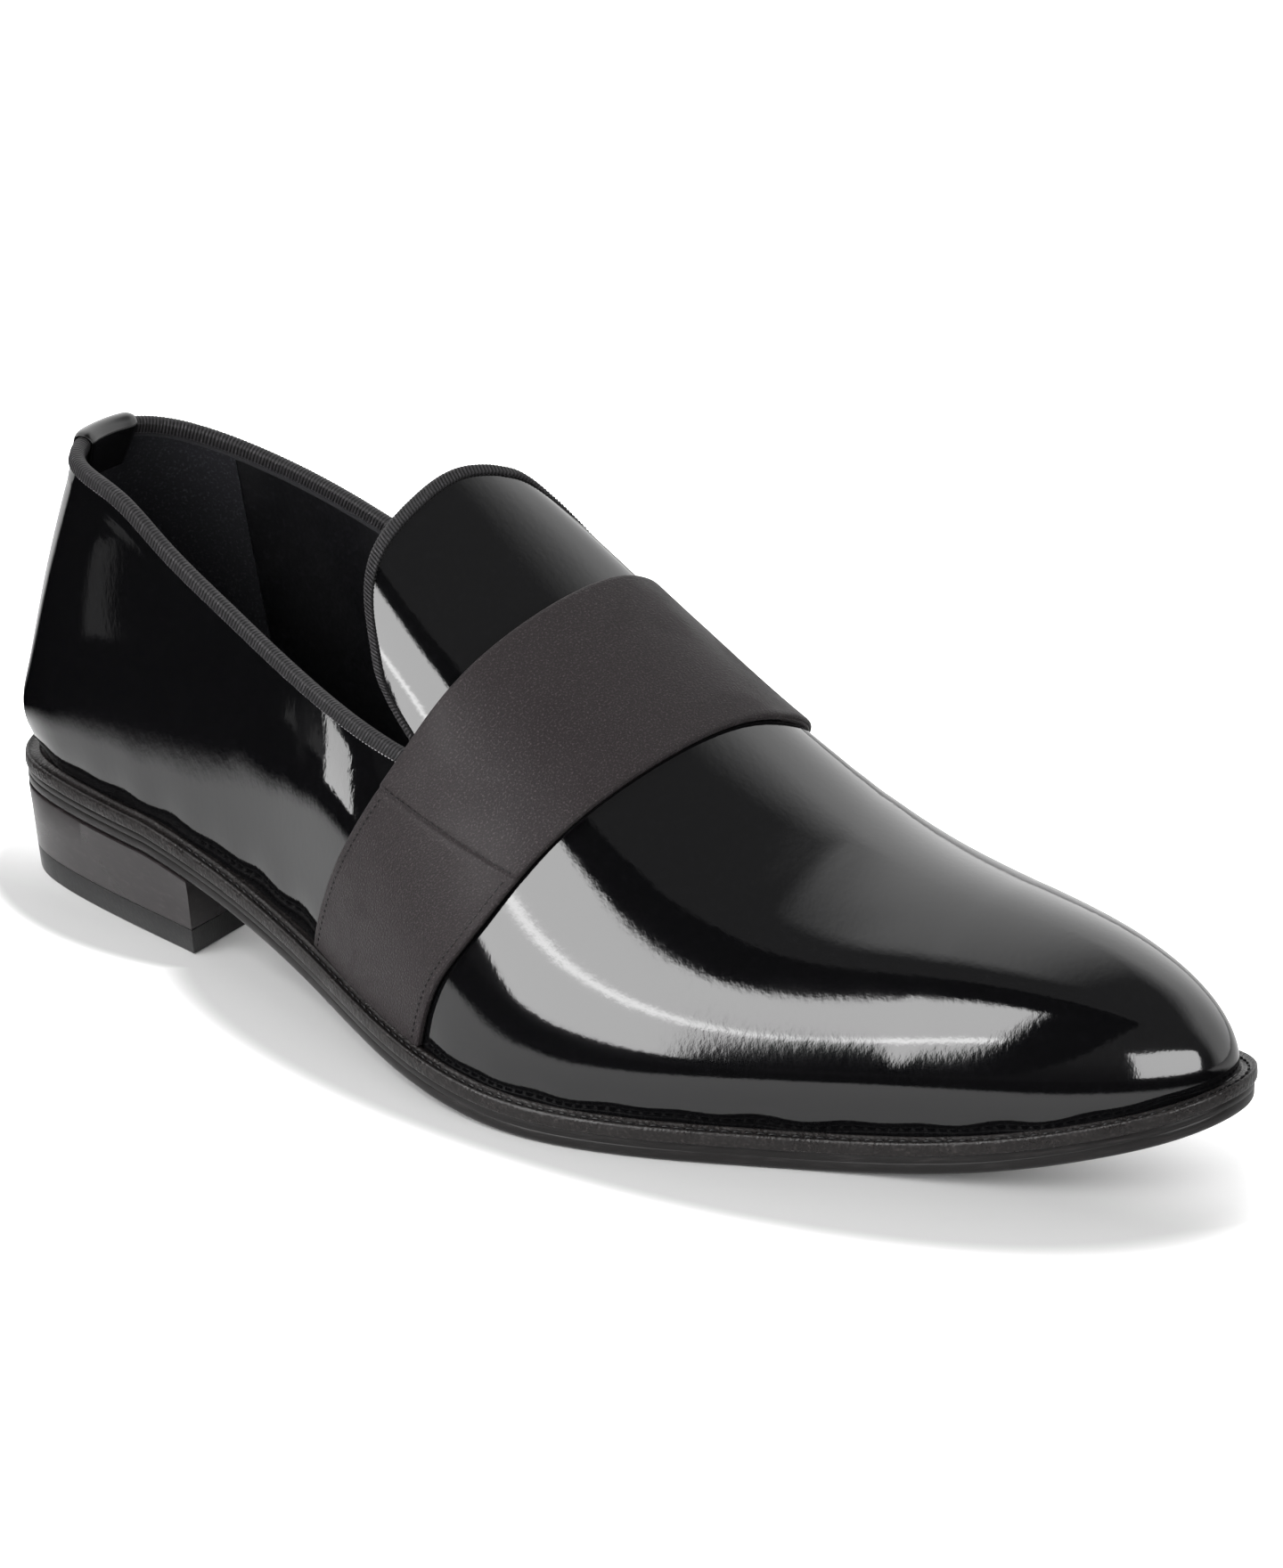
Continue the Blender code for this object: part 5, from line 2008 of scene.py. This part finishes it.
    def heel_body(self, levels: Sequence[tuple[float, float, Heights]]) -> Shape:
        """A closed body from levels of an inset, a breast and a height, bottom first.

        Args:
            levels: the levels.

        Returns:
            The body.
        """
        points, rings, cuts = [], [], []
        for inset, breast, height in levels:
            ring = self.heel_ring(inset, breast)
            z = height(ring[:, 0])
            rings.append(list(range(len(points) * len(ring), (len(points) + 1) * len(ring))))
            points.append(np.column_stack([ring, z]))
            cuts.append(np.stack([run_lengths(ring), z], axis=1))
        faces, half = ring_faces(rings), self.heel_steps // 2
        for ring in (rings[0], rings[-1]):
            faces.append((ring[half], ring[half - 1], ring[half + 1]))
            for i in range(1, half):
                corners = (half - i, half - i - 1, half + i + 1, half + i)
                faces.append(tuple(ring[k] for k in corners))
        return Shape(np.concatenate(points), faces, np.concatenate(cuts))

    def heel_shapes(self) -> tuple[Shape, Shape]:
        """The top lift and the heel block.

        Returns:
            The lift and the block.
        """
        sole, breast = self.last.sole, self.last.sole.heel_length
        lift = []
        foot = ((0.7, 0.0), (0.25, 0.12), (0.06, 0.35), (0.0, 0.7), (0.0, 3.0), (0.0, 5.8), (0.1, 6.0))
        for inset, rise in foot:
            lift.append((self.taper_at(rise) + inset, breast - inset, raised(np.zeros_like, rise)))
        block = []
        base = self.top_lift + 0.06
        for inset, rise in ((0.10, base), (0.0, base + 0.15), (0.0, 10.0), (0.0, 14.0)):
            block.append((self.taper_at(rise) + inset, breast - inset, raised(np.zeros_like, rise)))
        for inset, below in ((0.0, 0.35), (0.12, 0.08)):
            at = self.taper_at(sole.heel_height) + inset
            block.append((at, breast - inset, raised(sole.bottom, -below)))
        return self.heel_body(lift), self.heel_body(block)

    def sock(self) -> Shape:
        """The insole: its core inside the welt and the sock that spreads over it to the lining.

        Returns:
            The insole.
        """
        sole, rim = self.last.sole, self.last.sole.rim
        core = rim + self.welt_under + sole.gap
        low, top = sole.welt_low, raised(sole.welt_low, self.insole)
        profile: list[tuple[float, Heights]] = [(core, low), (core, raised(sole.welt_top, 0.12))]
        profile.append((rim + self.last.wall + 0.2, raised(sole.welt_top, 0.12)))
        for inset, rise in ((0.2, -0.45), (0.45, -0.1), (1.2, 0.0), (6.0, 0.1), (12.0, 0.15)):
            profile.append((rim + self.last.wall + inset, raised(top, rise)))
        return self.capped(profile)

    def build(self, finishes: Finishes) -> None:
        """Makes the outsole, the welt with its stitches, the heel and the insole.

        Args:
            finishes: the shoe's materials.
        """
        make_piece("sole_slab", self.outsole(), finishes.sole_edge, Slot.SOLE_EDGE, ["outsole"], 40)
        make_piece("welt_rim", self.welt(), finishes.welt, Slot.SOLE_EDGE, ["welt"], 60)
        make_piece("welt_stitches", self.welt_stitches(), finishes.thread, Slot.SOLE_EDGE)
        lift, block = self.heel_shapes()
        make_piece("heel_stack", block, finishes.heel_stack, Slot.SOLE_EDGE, ["heel_block"], 30)
        make_piece("top_piece", lift, finishes.rubber, Slot.RUBBER, ["heel_top_lift"], 30)
        make_piece("sock_lining", self.sock(), finishes.lining, Slot.LINING, ["insole"], 40)


@dataclass(frozen=True)
class Lamp:
    """A rectangular lamp: its middle, what it faces, its size, its power and the way its side stands."""

    name: str
    middle: tuple[float, float, float]
    facing: tuple[float, float, float]
    size: tuple[float, float]
    power: float
    upright: tuple[float, float, float] = (0.0, 0.0, 1.0)

    def build(self) -> None:
        """Makes the lamp."""
        light = bpy.data.lights.new(self.name, "AREA")
        light.shape = "RECTANGLE"
        light.size, light.size_y = self.size
        light.energy = self.power
        lamp = bpy.data.objects.new(self.name, light)
        bpy.context.scene.collection.objects.link(lamp)
        lamp.location = self.middle
        behind = (Vector(self.middle) - Vector(self.facing)).normalized()
        along = Vector(self.upright)
        along = (along - along.dot(behind) * behind).normalized()
        lamp.rotation_euler = Matrix((along.cross(behind), along, behind)).transposed().to_euler()
        lamp.visible_camera = False


class BoxEdge(NamedTuple):
    """One edge of the softbox: the way out across and up, and how far out it lies."""

    across: float
    up: float
    reach: float


def flat_sheet(name: str, wide: float, high: float, material: bpy.types.Material) -> bpy.types.Object:
    """A flat rectangle of the studio, which is no part of the shoe.

    Args:
        name: its name.
        wide: half of its width.
        high: half of its height.
        material: its material.

    Returns:
        The object.
    """
    mesh = bpy.data.meshes.new(name)
    corners = [(-wide, -high, 0), (wide, -high, 0), (wide, high, 0), (-wide, high, 0)]
    mesh.from_pydata(corners, [], [(0, 1, 2, 3)])
    mesh.materials.append(material)
    sheet = bpy.data.objects.new(name, mesh)
    bpy.context.scene.collection.objects.link(sheet)
    return sheet


@dataclass(frozen=True)
class Softbox:
    """A large cloth-fronted light with soft edges and a brighter tube behind the cloth."""

    middle: tuple[float, float, float] = (-0.187, -1.060, 0.520)
    rise: tuple[float, float] = (1.050, 0.520)
    half: tuple[float, float] = (0.80, 0.86)
    edges: tuple[BoxEdge, ...] = (
        BoxEdge(0.997, 0.072, 0.463),
        BoxEdge(0.250, 0.968, 0.662),
        BoxEdge(0.267, -0.964, 0.742),
        BoxEdge(-1.0, 0.0, 0.64),
    )
    edge: float = 0.03
    level: float = 9.5
    tube: float = 8.5
    tube_width: float = 0.065
    tube_line: BoxEdge = BoxEdge(-0.15, 1.0, 0.141)

    def build(self) -> None:
        """Makes the softbox."""
        box = flat_sheet("softbox", *self.half, self.material())
        box.location = self.middle
        box.rotation_euler = (math.atan2(self.rise[1], self.rise[0]), 0.0, 0.0)

    def material(self) -> bpy.types.Material:
        """The lit cloth.

        Returns:
            The material.
        """
        material = bpy.data.materials.new("softbox cloth")
        material.use_nodes = True
        graph = Graph(material.node_tree)
        shader = material.node_tree.nodes["Principled BSDF"]
        shader.inputs["Base Color"].default_value = (0.0, 0.0, 0.0, 1.0)
        shader.inputs["Specular IOR Level"].default_value = 0.0
        place = graph.add("ShaderNodeTexCoord").outputs["Object"]
        out = self.out(graph, place, self.tube_line)
        away = graph.maths("ABSOLUTE", graph.maths("SUBTRACT", out, self.tube_line.reach))
        level = graph.maths("ADD", graph.spread(away, (0.0, self.tube_width), (self.tube, 0.0)), self.level)
        for edge in self.edges:
            ends = (edge.reach - self.edge, edge.reach + self.edge)
            inside = graph.spread(self.out(graph, place, edge), ends, (1.0, 0.0))
            level = graph.maths("MULTIPLY", level, inside)
        shader.inputs["Emission Color"].default_value = (1.0, 1.0, 1.0, 1.0)
        graph.tree.links.new(level, shader.inputs["Emission Strength"])
        return material

    def out(self, graph: Graph, place: Socket, edge: BoxEdge) -> Socket:
        """How far out a place on the box lies towards one edge."""
        inputs = {0: place, 1: (edge.across, edge.up, 0.0)}
        return graph.add("ShaderNodeVectorMath", inputs, operation="DOT_PRODUCT").outputs["Value"]


class Pad(NamedTuple):
    """An ellipse of floor under the shoe: its middle, and half of its length and width."""

    x: float
    y: float
    length: float
    width: float


@dataclass
class Studio:
    """White sweep, soft lights and the camera at the photograph's angle."""

    eye: tuple[float, float, float] = (0.60422, -0.86579, 0.50081)
    target: tuple[float, float, float] = (0.02812, -0.01239, 0.06391)
    lens: float = 127.0
    sensor: float = 36.0
    shift: float = -0.0103
    clip: tuple[float, float] = (0.05, 50.0)
    floor_half: float = 4.0
    floor_roughness: float = 0.8
    floor_light: float = 0.60
    floor_shade: tuple[float, float] = (0.34, 0.90)
    board: Pad = Pad(0.0, 0.0, 0.215, 0.130)
    board_fade: tuple[float, float] = (0.95, 1.12)
    back_fade: tuple[float, float] = (0.055, 0.10)
    pads: tuple[Pad, ...] = (Pad(-0.103, 0.009, 0.053, 0.038), Pad(0.030, -0.003, 0.121, 0.056))
    shade_fade: tuple[float, float] = (1.02, 1.30)
    sweep_fade: tuple[float, float] = (1.02, 1.28)
    wings: tuple[float, float] = (-0.02, 0.04)
    wall_light: tuple[float, float] = (1.75, 0.0)
    wall_back: tuple[float, float] = (0.10, 0.60)
    wall_up: tuple[float, float] = (0.62, 0.94)
    ceiling_light: tuple[float, float] = (1.70, 0.12)
    ceiling_back: tuple[float, float] = (-0.16, 0.06)
    ceiling_right: tuple[float, float] = (-0.32, 0.12)
    room_light: tuple[float, float] = (0.04, 0.20)
    room_up: tuple[float, float] = (0.05, 0.50)
    lamps: tuple[Lamp, ...] = (
        Lamp("toe window", (0.773, -0.322, 0.234), (0.141, -0.002, 0.028), (0.625, 0.34), 6.0),
        Lamp(
            "low strip", (-0.1160, -0.0700, 0.0450), (-0.043, -0.041, 0.062), (0.013, 0.024), 0.0056,
            (-0.01, -0.32, 0.95),
        ),
        Lamp("heel card", (-0.293, -0.120, 0.020), (-0.117, -0.024, 0.072), (0.018, 0.050), 0.0007),
    )

    def camera(self) -> None:
        """Makes the camera and gives it to the scene."""
        data = bpy.data.cameras.new("photo camera")
        data.lens, data.sensor_width, data.shift_x = self.lens, self.sensor, self.shift
        data.clip_start, data.clip_end = self.clip
        camera = bpy.data.objects.new("photo camera", data)
        bpy.context.scene.collection.objects.link(camera)
        camera.location = self.eye
        way = Vector(self.target) - Vector(self.eye)
        camera.rotation_euler = way.to_track_quat("-Z", "Y").to_euler()
        bpy.context.scene.camera = camera

    def reach(self, graph: Graph, place: Sequence[Socket], pad: Pad) -> Socket:
        """How far out of a pad a place on the floor lies.

        Args:
            graph: the floor's graph.
            place: the x and y of the place.
            pad: the pad.

        Returns:
            The reach, 0 in the pad's middle and 1 on its edge.
        """
        middle, half = (pad.x, pad.y), (pad.length, pad.width)
        ways = [
            graph.maths("DIVIDE", graph.maths("SUBTRACT", part, centre), size)
            for part, centre, size in zip(place, middle, half)
        ]
        beside = graph.add("ShaderNodeCombineXYZ", {0: ways[0], 1: ways[1], 2: 0.0}).outputs[0]
        return graph.add("ShaderNodeVectorMath", {0: beside}, operation="LENGTH").outputs["Value"]

    def floor_material(self) -> bpy.types.Material:
        """A lit board under and behind the shoe, and to the camera a pad of painted shade round the sole on a
        white sweep.

        Returns:
            The material.
        """
        material = bpy.data.materials.new("pale floor")
        material.use_nodes = True
        graph = Graph(material.node_tree)
        shader = material.node_tree.nodes["Principled BSDF"]
        shader.inputs["Roughness"].default_value = self.floor_roughness
        shader.inputs["Specular IOR Level"].default_value = 0.0
        place = graph.add("ShaderNodeTexCoord").outputs["Object"]
        along, deep, _ = graph.add("ShaderNodeSeparateXYZ", {0: place}).outputs
        seen = graph.add("ShaderNodeLightPath").outputs["Is Camera Ray"]
        board = graph.spread(self.reach(graph, (along, deep), self.board), self.board_fade, (1.0, 0.0))
        behind = graph.spread(deep, self.back_fade, (0.0, 1.0))
        near = graph.maths("MAXIMUM", board, behind)
        reaches = [self.reach(graph, (along, deep), pad) for pad in self.pads]
        reach = graph.maths("MINIMUM", *reaches)
        # painted contact shadow: to the camera the floor's colour darkens towards the sole
        shade = graph.spread(reach, self.shade_fade, self.floor_shade)
        lit = graph.maths("MULTIPLY", near, self.floor_light)
        light = graph.add("ShaderNodeMix", {0: seen, 2: lit, 3: shade}).outputs[0]
        graph.tree.links.new(light, shader.inputs["Base Color"])
        sweep_light = graph.spread(reach, self.sweep_fade, (0.0, 1.0))
        white = graph.maths("MAXIMUM", sweep_light, graph.spread(deep, self.wings, (0.0, 1.0)))
        shader.inputs["Emission Color"].default_value = (1.0, 1.0, 1.0, 1.0)
        glow = graph.maths("MULTIPLY", white, seen)
        graph.tree.links.new(glow, shader.inputs["Emission Strength"])
        return material

    def world(self) -> None:
        """White to the camera, and for the light a pale wall and ceiling behind the shoe in a dark room."""
        world = bpy.data.worlds.new("studio")
        world.use_nodes = True
        bpy.context.scene.world = world
        graph = Graph(world.node_tree)
        background = world.node_tree.nodes["Background"]
        place = graph.add("ShaderNodeTexCoord").outputs["Generated"]
        right, back, up = graph.add("ShaderNodeSeparateXYZ", {0: place}).outputs
        low = graph.spread(up, self.wall_up, self.wall_light)
        wall = graph.maths("MULTIPLY", graph.spread(back, self.wall_back, (0.0, 1.0)), low)
        left = graph.spread(right, self.ceiling_right, self.ceiling_light)
        ceiling = graph.maths("MULTIPLY", graph.spread(back, self.ceiling_back, (0.0, 1.0)), left)
        room = graph.spread(up, self.room_up, self.room_light)
        level = graph.maths("MAXIMUM", graph.maths("MAXIMUM", wall, ceiling), room)
        seen = graph.add("ShaderNodeLightPath").outputs["Is Camera Ray"]
        strength = graph.add("ShaderNodeMix", {0: seen, 2: level, 3: 1.0})
        background.inputs["Color"].default_value = (1.0, 1.0, 1.0, 1.0)
        world.node_tree.links.new(strength.outputs[0], background.inputs["Strength"])

    def build(self) -> None:
        """Makes the whole studio."""
        self.camera()
        floor = flat_sheet("floor", self.floor_half, self.floor_half, self.floor_material())
        self.world()
        Softbox().build()
        for lamp in self.lamps:
            lamp.build()
        bpy.context.scene.view_settings.view_transform = "Standard"


def main() -> None:
    """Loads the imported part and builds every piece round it."""
    logging.basicConfig(level=logging.INFO, format="%(message)s")
    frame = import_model()
    LOG.info("packed part: %d nodes", len(frame["nodes"]))
    finishes = Finishes()
    last = Last(Sole())
    Studio().build()
    Bottom(last).build(finishes)
    Upper(last).build(finishes)
    RibbonEdge(last).build(finishes)
    BackStrip(last).build(finishes)
    InstepBand(last).build(finishes)


if __name__ == "__main__":
    main()
